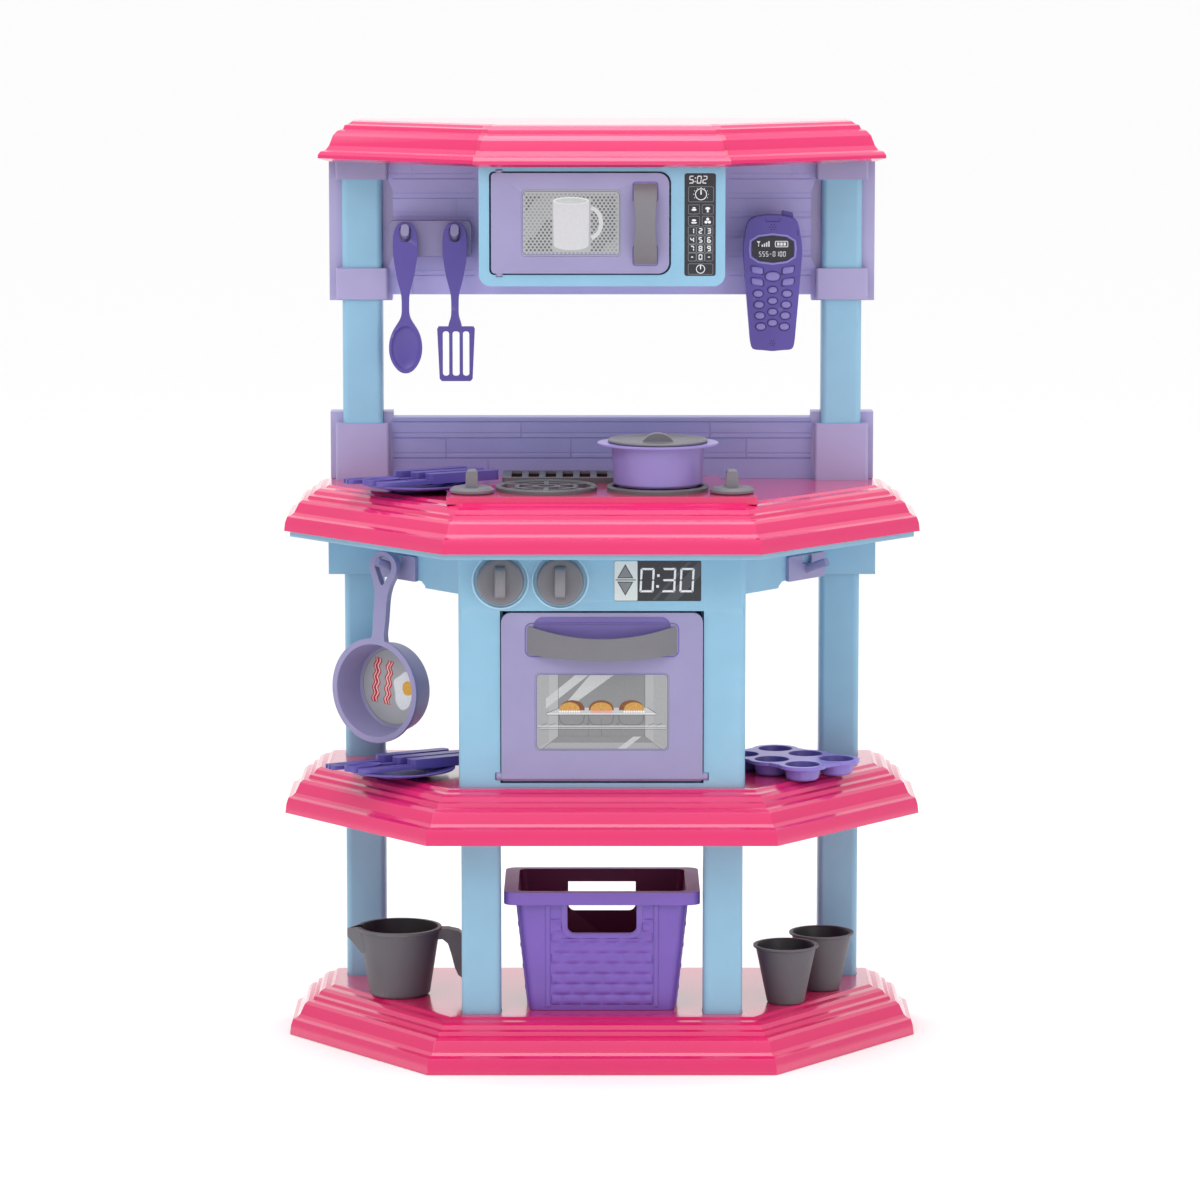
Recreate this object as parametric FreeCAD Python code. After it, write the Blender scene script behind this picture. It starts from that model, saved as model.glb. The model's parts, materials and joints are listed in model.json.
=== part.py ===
import FreeCAD, Part
import os
import math
from FreeCAD import Vector as V

os.makedirs("parts", exist_ok=True)

# ---------------------------------------------------------------------------
# Toy kitchen, millimetres.  +X is the right side as you stand in front of it,
# the front faces -Y, +Z is up and the floor is Z = 0.
# Depths are written as d, measured back from the front edge of the shelves.
# ---------------------------------------------------------------------------
DEPTH = 285.0            # front edge of the shelves to the back
TOTAL_H = 947.0          # top of the canopy

WALL = 2.5               # moulded wall
SHELL = 2.6              # shelf shell wall
FIT = 0.25               # assembly gap around plugged legs and posts
REST = 0.25              # gap under a piece that only stands on something
RUN = 0.08               # radial running clearance of a pivot

# shelves: front half width, widest half width, depth of the side corner
BASE_Z, BASE_FW, BASE_CW, BASE_CD = 0.0, 176.0, 325.0, 188.0
MID_Z, MID_FW, MID_CW, MID_CD = 234.0, 176.0, 328.0, 188.0
TOP_Z, TOP_FW, TOP_CW, TOP_CD = 528.0, 159.0, 327.0, 190.0
SHELF_H = 50.0
TOP_H = 46.0
BASE_TOP = BASE_Z + SHELF_H
MID_TOP = MID_Z + SHELF_H
COUNTER = TOP_Z + TOP_H

# stepped moulding round a shelf: (inset from the outline, height)
STEP_OUT = [(0, 0), (1.05, 9.5), (3.15, 15.8), (7.45, 17.6), (10.5, 20.5), (15.35, 31.0),
            (18.85, 33.8), (23.7, 35.0), (25.4, 38.6), (29.4, 40.0), (32.0, 43.8),
            (36.4, 46.2), (42.1, 47.2), (45.6, 49.6), (50.0, 50.0)]
STEP_IN = [(2.6, -1), (3.6, 9.2), (5.5, 13.8), (9.0, 15.6), (12.6, 19.4), (17.2, 29.4),
           (20.0, 31.2), (25.6, 32.4), (27.6, 36.2), (31.6, 37.6), (34.4, 41.4),
           (37.6, 43.4), (43.0, 44.4), (45.9, 46.9), (52.0, 47.3)]

# legs and posts: x range and depth range of the right-hand one
FRONT_LEG = (102.5, 142.5, 58.0, 91.0)
REAR_LEG = (226.5, 268.0, 247.0, 280.0)
POST = (227.0, 268.5, 249.0, 281.0)
LEG_R = 6.5
LEG_FOOT = 22.5          # floor of the leg sockets in the base
LEG_MID = 259.5          # top of the lower rear legs, under the divider
LEG_UP = 262.0           # bottom of the upper rear legs
LEG_TOP = 515.0
POST_Z0, POST_Z1 = 580.0, 903.0

# stove platform on the counter
STOVE_TOP = 580.0
STOVE_PLAN = [(-156, 50), (156, 50), (156, 108), (122, 140), (122, 240), (-122, 240), (-122, 140), (-156, 108)]

# oven
OV_X = 144.5             # half width of the cabinet
OV_IN = 102.5            # half width of the opening
OV_D = 57.0              # front of the columns
FASCIA_D = 54.0
OV_BACK = 107.0
FASCIA_Z = 464.0
CAB_TOP = 525.5
SILL_Z = 288.0
DOOR_X, DOOR_Z0, DOOR_Z1 = 101.5, 290.0, 462.0
DOOR_D0, DOOR_D1 = 54.0, 66.0
HINGE_D, HINGE_Z, HINGE_R = 58.5, 295.0, 4.2
KNOB_X = (-102.0, -42.0)
KNOB_Z, KNOB_R = 494.5, 23.75
SHAFT_R = 4.0
CLOCK = (12.0, 99.7, 474.0, 515.0)

# microwave
MW_X, MW_D, MW_Z0, MW_TOP = 124.0, 112.0, 786.0, 905.8
MW_OPEN = (-113.5, 69.5, 797.5, 901.5)
MWD = (-111.5, 67.5, 799.0, 900.0)
MW_HX, MW_HD, MW_HR = -103.5, 114.0, 4.0
PANEL_LABEL = (82.8, 114.5, 796.4, 899.8)

# back
BACK_D0 = 262.0
SPLASH_TOP = 638.0
PANEL_Z0, PANEL_Z1 = 762.0, 905.8
CANOPY_Z = 905.8
HOOK_TILT = 20.0         # upward slope of the hanging pegs, degrees


def yy(d):
    return d - DEPTH / 2.0


# ---------------------------------------------------------------------------
# helpers
# ---------------------------------------------------------------------------
def box(x0, x1, d0, d1, z0, z1):
    return Part.makeBox(x1 - x0, d1 - d0, z1 - z0, V(x0, yy(d0), z0))


def prism(pts, z0, z1):
    w = Part.makePolygon([V(x, yy(d), z0) for x, d in pts + [pts[0]]])
    return Part.Face(w).extrude(V(0, 0, z1 - z0))


def prism_xz(pts, d0, d1):
    w = Part.makePolygon([V(x, yy(d0), z) for x, z in pts + [pts[0]]])
    return Part.Face(w).extrude(V(0, d1 - d0, 0))


def prism_dz(pts, x0, x1):
    w = Part.makePolygon([V(x0, yy(d), z) for d, z in pts + [pts[0]]])
    return Part.Face(w).extrude(V(x1 - x0, 0, 0))


def rrect(u0, u1, v0, v1, r, f):
    rs = r if isinstance(r, tuple) else (r,) * 4
    cs = [((u0, v0), (1, 1), 180), ((u1, v0), (-1, 1), 270), ((u1, v1), (-1, -1), 0), ((u0, v1), (1, -1), 90)]
    ends, edges = [], []
    for ((cu, cv), (su, sv), a0), rr in zip(cs, rs):
        if rr <= 0:
            ends.append((f(cu, cv), f(cu, cv), None))
            continue
        ou, ov = cu + su * rr, cv + sv * rr
        p = [f(ou + rr * math.cos(math.radians(a)), ov + rr * math.sin(math.radians(a))) for a in (a0, a0 + 45, a0 + 90)]
        ends.append((p[0], p[2], Part.Arc(p[0], p[1], p[2]).toShape()))
    for i in range(4):
        if ends[i][2] is not None:
            edges.append(ends[i][2])
        a, b = ends[i][1], ends[(i + 1) % 4][0]
        if a.distanceToPoint(b) > 1e-6:
            edges.append(Part.makeLine(a, b))
    return Part.Wire(edges)


def rrz(x0, x1, d0, d1, z0, z1, r):
    return Part.Face(rrect(x0, x1, d0, d1, r, lambda u, v: V(u, yy(v), z0))).extrude(V(0, 0, z1 - z0))


def rry(x0, x1, z0, z1, d0, d1, r):
    return Part.Face(rrect(x0, x1, z0, z1, r, lambda u, v: V(u, yy(d0), v))).extrude(V(0, d1 - d0, 0))


def cyl_x(d, z, x0, x1, r):
    return Part.makeCylinder(r, x1 - x0, V(x0, yy(d), z), V(1, 0, 0))


def cyl_y(x, z, d0, d1, r):
    return Part.makeCylinder(r, d1 - d0, V(x, yy(d0), z), V(0, 1, 0))


def cyl_z(x, d, z0, z1, r):
    return Part.makeCylinder(r, z1 - z0, V(x, yy(d), z0), V(0, 0, 1))


def cone_y(x, z, d0, d1, r0, r1):
    return Part.makeCone(r0, r1, d1 - d0, V(x, yy(d0), z), V(0, 1, 0))


def turn(x, d, pts, dz=0.0):
    w = Part.makePolygon([V(x + r, yy(d), z + dz) for r, z in pts + [pts[0]]])
    return Part.Face(w).revolve(V(x, yy(d), 0), V(0, 0, 1), 360)


def outline(pts):
    c = Part.BSplineCurve()
    c.interpolate([V(x, 0, z) for x, z in pts], PeriodicFlag=True)
    return c


def mirror(s):
    return s.mirror(V(0, 0, 0), V(1, 0, 0))


def fuse(first, *rest):
    out = first
    for r in rest:
        out = out.fuse(r)
    return out


def cut(first, *rest):
    out = first
    for r in rest:
        out = out.cut(r)
    return out


def tidy(s):
    s = s.removeSplitter()
    sols = s.Solids
    return sols[0] if len(sols) == 1 else Part.makeCompound(sols)


def save(name, shape, count=1):
    s = tidy(shape)
    n = len(s.Solids)
    ok = s.isValid() and n == count and all(q.Volume > 0 for q in s.Solids)
    print("%-24s %s solids=%d vol=%.1f cm3" % (name, "ok " if ok else "BAD", n, s.Volume / 1000.0))
    s.exportStep("parts/%s.step" % name)
    return s


def offset_poly(pts, insets):
    """Move every edge of a counter-clockwise outline inwards by its own inset."""
    n = len(pts)
    lines = []
    for i in range(n):
        (x0, y0), (x1, y1) = pts[i], pts[(i + 1) % n]
        dx, dy = x1 - x0, y1 - y0
        le = math.hypot(dx, dy)
        nx, ny = -dy / le, dx / le
        lines.append((x0 + nx * insets[i], y0 + ny * insets[i], dx / le, dy / le))
    out = []
    for i in range(n):
        ax, ay, adx, ady = lines[i - 1]
        bx, by, bdx, bdy = lines[i]
        det = adx * bdy - ady * bdx
        t = ((bx - ax) * bdy - (by - ay) * bdx) / det
        out.append((ax + adx * t, ay + ady * t))
    return out


def ring_solid(pts, prof, z0, zk, factors, fixed):
    """Closed solid whose sides follow a stepped moulding round an outline."""
    rings = []
    for ins, z in prof:
        poly = offset_poly(pts, [ins * f + g for f, g in zip(factors, fixed)])
        rings.append([V(x, yy(d), z0 + z * zk) for x, d in poly])
    n = len(pts)
    faces = [Part.Face(Part.makePolygon(rings[0] + [rings[0][0]])),
             Part.Face(Part.makePolygon(rings[-1] + [rings[-1][0]]))]
    for a, b in zip(rings[:-1], rings[1:]):
        for i in range(n):
            j = (i + 1) % n
            faces.append(Part.Face(Part.makePolygon([a[i], a[j], b[j], b[i], a[i]])))
    s = Part.Solid(Part.Shell(faces))
    if s.Volume < 0:
        s.reverse()
    return s


def shelf_plan(fw, cw, cd):
    return [(-fw, 0.0), (fw, 0.0), (cw, cd), (cw, DEPTH), (-cw, DEPTH), (-cw, cd)]


def shelf_shell(fw, cw, cd, z0, zk):
    pl = shelf_plan(fw, cw, cd)
    sides = [1, 1, 1, 0, 1, 1]
    outer = ring_solid(pl, STEP_OUT, z0, zk, sides, [0] * 6)
    inner = ring_solid(pl, STEP_IN, z0, zk, sides, [0, 0, 0, 3.0, 0, 0])
    return outer.cut(inner)


def leg(p, z0, z1):
    x0, x1, d0, d1 = p
    return rrz(x0, x1, d0, d1, z0, z1, LEG_R).cut(
        rrz(x0 + WALL, x1 - WALL, d0 + WALL, d1 - WALL, z0 - 1, z1 + 1, LEG_R - WALL))


def leg_block(p, z0, z1):
    x0, x1, d0, d1 = p
    g = FIT + WALL
    return rrz(x0 - g, x1 + g, d0 - g, d1 + g, z0, z1, LEG_R + g)


def leg_hole(p, z0, z1):
    x0, x1, d0, d1 = p
    return rrz(x0 - FIT, x1 + FIT, d0 - FIT, d1 + FIT, z0, z1, LEG_R + FIT)


def peg(x, d, z, w, h, length, back, yaw=0.0, drop=0.0):
    """Flat-oval peg (or its hole) rising HOOK_TILT away from the wall; section centred 'drop' below the axis."""
    r = w / 2.0
    f = Part.Face(rrect(-w / 2, w / 2, -h / 2 - drop, h / 2 - drop, r * 0.98, lambda u, v: V(u, back, v)))
    s = f.extrude(V(0, -(length + back), 0))
    s.rotate(V(0, 0, 0), V(1, 0, 0), -HOOK_TILT)
    s.rotate(V(0, 0, 0), V(0, 0, 1), yaw)
    s.translate(V(x, yy(d), z))
    return s


def siding(x0, x1, z0, z1, rows, joints, depth):
    """Shallow grooves of a board pattern on the face at BACK_D0."""
    out = []
    for z in rows:
        if z0 < z < z1:
            out.append(box(x0, x1, BACK_D0 - 1.0, BACK_D0 + depth, z - 0.9, z + 0.9))
            out.append(box(x0, x1, BACK_D0 - 1.0, BACK_D0 + depth * 0.5, z + 4.6, z + 6.0))
    for x, za, zb in joints:
        out.append(box(x - 0.7, x + 0.7, BACK_D0 - 1.0, BACK_D0 + depth * 0.7, za, zb))
    return out


# ---------------------------------------------------------------------------
# shelves and legs
# ---------------------------------------------------------------------------
LEG_FR, LEG_RR = FRONT_LEG, REAR_LEG


def both(f):
    return [f, mirror(f)]


base = shelf_shell(BASE_FW, BASE_CW, BASE_CD, BASE_Z, 1.0)
for p in (FRONT_LEG, REAR_LEG):
    for b in both(leg_block(p, LEG_FOOT - WALL, BASE_TOP - 1.0)):
        base = base.fuse(b)
for p in (FRONT_LEG, REAR_LEG):
    for h in both(leg_hole(p, LEG_FOOT, BASE_TOP + 5)):
        base = base.cut(h)
base = save("base_shelf", base)

mid = shelf_shell(MID_FW, MID_CW, MID_CD, MID_Z, 1.0)
for p in (FRONT_LEG, REAR_LEG):
    for b in both(leg_block(p, MID_Z + 4, MID_TOP - 1.0)):
        mid = mid.fuse(b)
for h in both(leg_hole(FRONT_LEG, MID_Z, MID_TOP - WALL)):
    mid = mid.cut(h)
for h in both(leg_hole(REAR_LEG, MID_Z, LEG_MID)) + both(leg_hole(REAR_LEG, LEG_UP, MID_TOP + 5)):
    mid = mid.cut(h)
mid = save("middle_shelf", mid)

lf = leg(FRONT_LEG, LEG_FOOT, MID_TOP - WALL)
lr = leg(REAR_LEG, LEG_FOOT, LEG_MID)
ur = leg(REAR_LEG, LEG_UP, LEG_TOP)
save("lower_leg_front_right", lf)
save("lower_leg_front_left", mirror(lf))
save("lower_leg_rear_right", lr)
save("lower_leg_rear_left", mirror(lr))
save("upper_leg_right", ur)
save("upper_leg_left", mirror(ur))

# ---------------------------------------------------------------------------
# counter frame: sheet under the counter, angled aprons and rear leg blocks
# ---------------------------------------------------------------------------
pl = shelf_plan(TOP_FW, TOP_CW, TOP_CD)
sheet = prism(offset_poly(pl, [6, 6, 6, 2, 6, 6]), 522.0, TOP_Z).cut(
    prism(offset_poly(pl, [9, 9, 9, 5, 9, 9]), 521.0, CAB_TOP))
AP_A, AP_B = (137.2, 107.1), (230.7, 221.9)
al = math.hypot(AP_B[0] - AP_A[0], AP_B[1] - AP_A[1])
AP_STEP = 181.0           # the lower edge steps up outside this
ATX, ATD = (AP_B[0] - AP_A[0]) / al, (AP_B[1] - AP_A[1]) / al     # along the apron
ANX, AND = ATD, -ATX                                              # outward normal
APRON_YAW = math.degrees(math.atan2(ANX, -AND))
apron = prism([AP_A, AP_B, (AP_B[0] - 3 * ANX, AP_B[1] - 3 * AND), (AP_A[0] - 3 * ANX, AP_A[1] - 3 * AND)], 472.5, CAB_TOP).cut(
    prism_xz([(AP_STEP, 460), (AP_STEP, 474.5), (AP_STEP + 4, 479.0), (300, 479.0), (300, 460)], 50, 260))
web = box(227.4, 230.7, 220.0, 242.0, 479.0, CAB_TOP)
block = box(223.7, 284.0, 240.0, 284.0, 476.5, CAB_TOP).cut(box(226.7, 281.0, 243.0, 281.5, 468.0, CAB_TOP - 3))
sock = leg_block(REAR_LEG, 479.0, CAB_TOP).cut(leg_hole(REAR_LEG, 470.0, LEG_TOP))
block = block.common(box(223.7, 284.0, 240.0, 284.0, 460.0, 530.0)).fuse(
    sock.common(box(223.7, 284.0, 240.0, 284.0, 460.0, 530.0))).cut(leg_hole(REAR_LEG, 460.0, LEG_TOP))
side = fuse(apron, web, block)
frame_ = fuse(sheet, side, mirror(side))
for bx, bd in ((150, 100), (60, 60), (235, 215), (90, 255), (205, 255)):
    for b in both(cyl_z(bx, bd, CAB_TOP, TOP_Z + 47.3 * 0.92, 5.0)):
        frame_ = frame_.fuse(b)
frame_ = save("counter_frame", frame_)

# ---------------------------------------------------------------------------
# countertop with the raised stove platform
# ---------------------------------------------------------------------------
ctop = shelf_shell(TOP_FW, TOP_CW, TOP_CD, TOP_Z, TOP_H / SHELF_H)
ctop = ctop.fuse(prism(STOVE_PLAN, COUNTER - 2.0, STOVE_TOP))
inner_stove = offset_poly(STOVE_PLAN, [3] * 8)
ctop = ctop.cut(prism(inner_stove, COUNTER - 6, STOVE_TOP - 3).cut(
    fuse(*[cyl_z(s * bx, bd, 500, 600, 9.0) for bx, bd in ((60, 60), (150, 100)) for s in (1, -1)])))
for s in (1, -1):
    ctop = ctop.cut(cyl_z(s * 131.0, 84.0, 560, 600, SHAFT_R + RUN))
ctop = save("countertop", ctop)

# burners, vent grille, stove knobs ------------------------------------------------
GR_X, GR_D, GR_R = 56.3, 110.0, 51.5


def grate(xc):
    s = turn(xc, GR_D, [(45.5, 0), (51.5, 0), (51.5, 3.6), (50.0, 5.0), (47.0, 5.0), (45.5, 3.6)], STOVE_TOP)
    hub = turn(xc, GR_D, [(9.0, 0), (14.0, 0), (14.0, 4.2), (9.0, 4.2)], STOVE_TOP)
    s = s.fuse(hub)
    for k in range(6):
        b = Part.makeBox(36.0, 5.0, 4.0, V(11.0, -2.5, 0))
        b.rotate(V(0, 0, 0), V(0, 0, 1), 60 * k + 30)
        b.translate(V(xc, yy(GR_D), STOVE_TOP))
        s = s.fuse(b)
    mid_ring = turn(xc, GR_D, [(28.0, 0), (32.0, 0), (32.0, 4.0), (28.0, 4.0)], STOVE_TOP)
    return s.fuse(mid_ring)


gl, gr = grate(-GR_X), grate(GR_X)
gl = save("burner_grate_left", gl)
gr = save("burner_grate_right", gr)

vent = rrz(-102, 102, 164, 232, STOVE_TOP, STOVE_TOP + 6, 5.0)
vent = vent.cut(rrz(-99.5, 99.5, 166.5, 229.5, STOVE_TOP - 1, STOVE_TOP + 3.5, 3.0))
NS = 11
for k in range(NS):
    xs = -87.5 + 17.5 * k
    vent = vent.cut(rrz(xs - 5.5, xs + 5.5, 172, 224, STOVE_TOP - 1, STOVE_TOP + 8, 2.0))
vent = save("vent_grille", vent)


def stove_knob(xc):
    s = turn(xc, 84.0, [(0, 0.3), (21.5, 0.3), (22.5, 1.3), (22.5, 3.6), (19.5, 6.2), (0, 7.0)], STOVE_TOP)
    tab = rry(xc - 6, xc + 6, STOVE_TOP + 4, STOVE_TOP + 23, 72, 96, (0, 0, 4, 4))
    s = s.fuse(tab)
    s = s.fuse(cyl_z(xc, 84.0, STOVE_TOP - 6.0, STOVE_TOP + 1.0, SHAFT_R))
    return s.fuse(turn(xc, 84.0, [(0, -6.5), (3.6, -6.5), (4.9, -4.6), (4.9, -3.3), (0, -3.3)], STOVE_TOP))


skl, skr = stove_knob(-131.0), stove_knob(131.0)
save("stove_knob_left", skl)
save("stove_knob_right", skr)

# ---------------------------------------------------------------------------
# oven cabinet, box, door, handle, knobs, labels
# ---------------------------------------------------------------------------
def column():
    o = rrz(OV_IN, OV_X, OV_D, OV_BACK, MID_TOP, FASCIA_Z + 4, (0, 6, 0, 0))
    return o.cut(box(OV_IN + WALL, OV_X - WALL, OV_D + WALL, OV_BACK + 1, MID_TOP + WALL, FASCIA_Z + 10))


col = column()
cham = prism_dz([(OV_D, FASCIA_Z - 7), (FASCIA_D, FASCIA_Z), (FASCIA_D, FASCIA_Z + 4), (OV_D + WALL, FASCIA_Z + 4), (OV_D + WALL, FASCIA_Z - 7)],
                OV_IN, OV_X - 3)
cab = fuse(col, mirror(col), cham, mirror(cham))
fas = rrz(-OV_X, OV_X, FASCIA_D, OV_BACK, FASCIA_Z, CAB_TOP, (6, 6, 0, 0)).cut(
    box(-OV_X + WALL, OV_X - WALL, FASCIA_D + WALL, OV_BACK + 1, FASCIA_Z + WALL, CAB_TOP - WALL))
for s in (1, -1):
    fas = fas.cut(box(min(s * (OV_IN + WALL), s * (OV_X - WALL)), max(s * (OV_IN + WALL), s * (OV_X - WALL)),
                      OV_D + WALL, OV_BACK + 1, FASCIA_Z - 1, FASCIA_Z + 6))
sill = box(-OV_IN - 1, OV_IN + 1, OV_D, OV_BACK, MID_TOP, SILL_Z).cut(
    box(-OV_IN + 2, OV_IN - 2, OV_D + WALL, OV_BACK + 1, MID_TOP - 1, SILL_Z - 2.0))
cab = fuse(cab, fas, sill)
for xk in KNOB_X:
    cab = cab.cut(cyl_y(xk, KNOB_Z, FASCIA_D - 1, FASCIA_D + 0.8, 26.8))
    cab = cab.cut(cyl_y(xk, KNOB_Z, FASCIA_D - 1, FASCIA_D + 6, SHAFT_R + RUN))
cab = cab.cut(rry(CLOCK[0], CLOCK[1], CLOCK[2], CLOCK[3], FASCIA_D - 1, FASCIA_D + 0.6, 1.5))
for s in (1, -1):
    cab = cab.cut(cyl_x(HINGE_D, HINGE_Z, 99.0 if s > 0 else -107.6, 107.6 if s > 0 else -99.0, HINGE_R + RUN))
cab = save("oven_cabinet", cab)

save("oven_clock_label", rry(CLOCK[0] + 0.2, CLOCK[1] - 0.2, CLOCK[2] + 0.2, CLOCK[3] - 0.2, FASCIA_D + 0.15, FASCIA_D + 0.6, 1.3))

ob = box(-102.2, 102.2, 70, 230, 288.1, 463.9).cut(box(-99.7, 99.7, 60, 227.5, 290.6, 461.4))
fl = box(-118, 118, OV_BACK, OV_BACK + 2.5, MID_TOP + 0.5, 470).cut(box(-100, 100, 100, 120, 290, 462))
ob = save("oven_box", ob.fuse(fl))

door = rry(-DOOR_X, DOOR_X, DOOR_Z0, DOOR_Z1, DOOR_D0, DOOR_D1, (3, 3, 10, 10))
door = door.cut(rry(-DOOR_X + 3, DOOR_X - 3, DOOR_Z0 + 3, DOOR_Z1 - 3, DOOR_D0 + 3.2, DOOR_D1 + 1, (1, 1, 7, 7)))
door = door.cut(prism_dz([(DOOR_D0 - 1, DOOR_Z0 - 1), (DOOR_D0 + 3, DOOR_Z0 - 1), (DOOR_D0 + 3, DOOR_Z0), (DOOR_D0, DOOR_Z0 + 3), (DOOR_D0 - 1, DOOR_Z0 + 3)], -110, 110))
door = door.cut(rry(-67.6, 67.6, 322.0, 401.0, DOOR_D0 - 1, DOOR_D0 + 1.0, 5))
door = door.cut(rry(-69.0, 69.0, 422.0, 458.0, DOOR_D0 - 1, DOOR_D0 + 1.0, 10))
door = fuse(door, cyl_x(HINGE_D, HINGE_Z, 100.0, 106.6, HINGE_R), cyl_x(HINGE_D, HINGE_Z, -106.6, -100.0, HINGE_R))
door = save("oven_door", door)
save("oven_window_label", rry(-67.2, 67.2, 322.4, 400.6, DOOR_D0 + 0.5, DOOR_D0 + 1.0, 4.6))


def arc2(p0, p1, p2, q0, q1, q2):
    """Closed face between arc p0-p1-p2 and arc q0-q1-q2."""
    return Part.Face(Part.Wire([Part.Arc(p0, p1, p2).toShape(), Part.makeLine(p2, q0), Part.Arc(q0, q1, q2).toShape(), Part.makeLine(q2, p0)]))


hy0, hy1 = yy(30.0), yy(DOOR_D0)
band = arc2(V(-76, hy0, 449.5), V(0, hy0, 438.0), V(76, hy0, 449.5), V(76, hy0, 420.5), V(0, hy0, 415.5), V(-76, hy0, 420.5)).extrude(V(0, hy1 - hy0, 0))
bow = arc2(V(-76, hy1, 400), V(0, yy(34.5), 400), V(76, hy1, 400), V(69.5, hy1, 400), V(0, yy(39.8), 400), V(-69.5, hy1, 400)).extrude(V(0, 0, 50))
save("oven_handle", band.common(bow).common(rry(-75.6, 75.6, 415.0, 449.6, 20.0, 60.0, 5)))


def oven_knob(xc):
    s = fuse(cyl_y(xc, KNOB_Z, 46.5, 54.0, KNOB_R), cone_y(xc, KNOB_Z, 44.0, 46.5, KNOB_R - 2.5, KNOB_R))
    s = s.fuse(rry(xc - 6.5, xc + 6.5, KNOB_Z - 22, KNOB_Z + 22, 35.0, 46.0, 4.0))
    s = s.fuse(cyl_y(xc, KNOB_Z, 53.0, 59.5, SHAFT_R))
    s = s.fuse(cone_y(xc, KNOB_Z, 57.0, 60.0, 4.9, 3.4))
    return s


for nm, xk in (("oven_knob_left", KNOB_X[0]), ("oven_knob_right", KNOB_X[1])):
    save(nm, oven_knob(xk))

# ---------------------------------------------------------------------------
# backsplash, posts, upper panel
# ---------------------------------------------------------------------------
def channel(z0, z1, x0=221.0, x1=276.0, dfront=246.0, dback=285.0):
    return rrz(x0, x1, dfront, dback, z0, z1, (3, 3, 0, 0))


spl = box(-222, 222, BACK_D0, DEPTH, COUNTER, SPLASH_TOP).cut(box(-230, 230, BACK_D0 + 3, DEPTH + 1, COUNTER + 3, SPLASH_TOP - 3))
plate_b = box(217, 282, BACK_D0, DEPTH, COUNTER, 644.0)
sk = fuse(channel(COUNTER, 633.0), plate_b).cut(leg_hole(POST, POST_Z0, 700))
sk = sk.cut(box(219.9, 279.0, 283.9, 300, COUNTER + 3, 641.0))
rows = [COUNTER + 21.0 * k for k in range(1, 3)]
joints = []
for za, zb, xs in ((COUNTER + 1.5, COUNTER + 21, (-118, 96)), (COUNTER + 21, COUNTER + 42, (-162, -32, 150)), (COUNTER + 42, SPLASH_TOP - 5, (-84, 112))):
    for xj in xs:
        joints.append((xj, za, zb))
spl = cut(spl, *siding(-219, 219, COUNTER, SPLASH_TOP, rows + [SPLASH_TOP - 5], joints, 1.0))
spl = fuse(spl, sk, mirror(sk))
spl = save("backsplash", spl)

po = leg(POST, POST_Z0, POST_Z1)
save("post_right", po)
save("post_left", mirror(po))

up = box(-222, 222, BACK_D0, DEPTH, PANEL_Z0 + 4, PANEL_Z1).cut(box(-230, 230, BACK_D0 + 3, DEPTH + 1, PANEL_Z0 + 7, PANEL_Z1 - 3))
ps = box(217, 282, BACK_D0, DEPTH, PANEL_Z0 - 2, PANEL_Z1)
ps = fuse(ps, channel(PANEL_Z0, 794.0, 221.0, 274.5), channel(885.5, PANEL_Z1, 221.0, 274.5))
ps = ps.cut(leg_hole(POST, 700, POST_Z1))
ps = ps.cut(box(219.9, 279.0, 283.9, 300, PANEL_Z0 + 1, PANEL_Z1 - 3))
rows = [PANEL_Z0 + 4 + 20.0 * k for k in range(1, 7)]
joints = []
for i in range(7):
    za, zb = PANEL_Z0 + 4 + 20.0 * i, PANEL_Z0 + 24 + 20.0 * i
    for xj in ((196.0,) if i % 3 == 0 else (150.0,) if i % 3 == 1 else ()):
        for s in (1, -1):
            joints.append((s * xj, max(za, PANEL_Z0 + 5.5), min(zb, PANEL_Z1 - 4)))
for s in (1, -1):
    a, b = (132.0, 216.0) if s > 0 else (-216.0, -132.0)
    up = cut(up, *siding(a, b, PANEL_Z0 + 10, PANEL_Z1 - 2, rows, [j for j in joints if j[0] * s > 0], 1.0))
up = fuse(up, ps, mirror(ps))
# peg and boss that carry the telephone
PH_X, PH_Z, PH_D = 175.2, 826.0, 243.0
up = fuse(up, rry(PH_X - 11, PH_X + 11, PH_Z - 16, PH_Z + 14, PH_D, BACK_D0 + 1, 4.0), peg(PH_X, PH_D, PH_Z, 8.4, 13.0, 19.0, 3.0))
up = save("upper_panel", up)

# utensil rack ----------------------------------------------------------------
RK_D, PEG_Z = 242.0, 828.0
RK_X = (-202.4, -151.4)
rack = rry(-218.5, -134.8, 806.8, 843.4, RK_D, BACK_D0, (2, 2, 6, 6)).cut(
    rry(-216.0, -137.3, 809.3, 840.9, RK_D + WALL, BACK_D0 + 1, (1, 1, 4, 4)))
for xk in RK_X:
    rack = rack.fuse(peg(xk, RK_D, PEG_Z, 8.4, 13.0, 21.0, 2.0))
rack = save("utensil_rack", rack)

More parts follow.
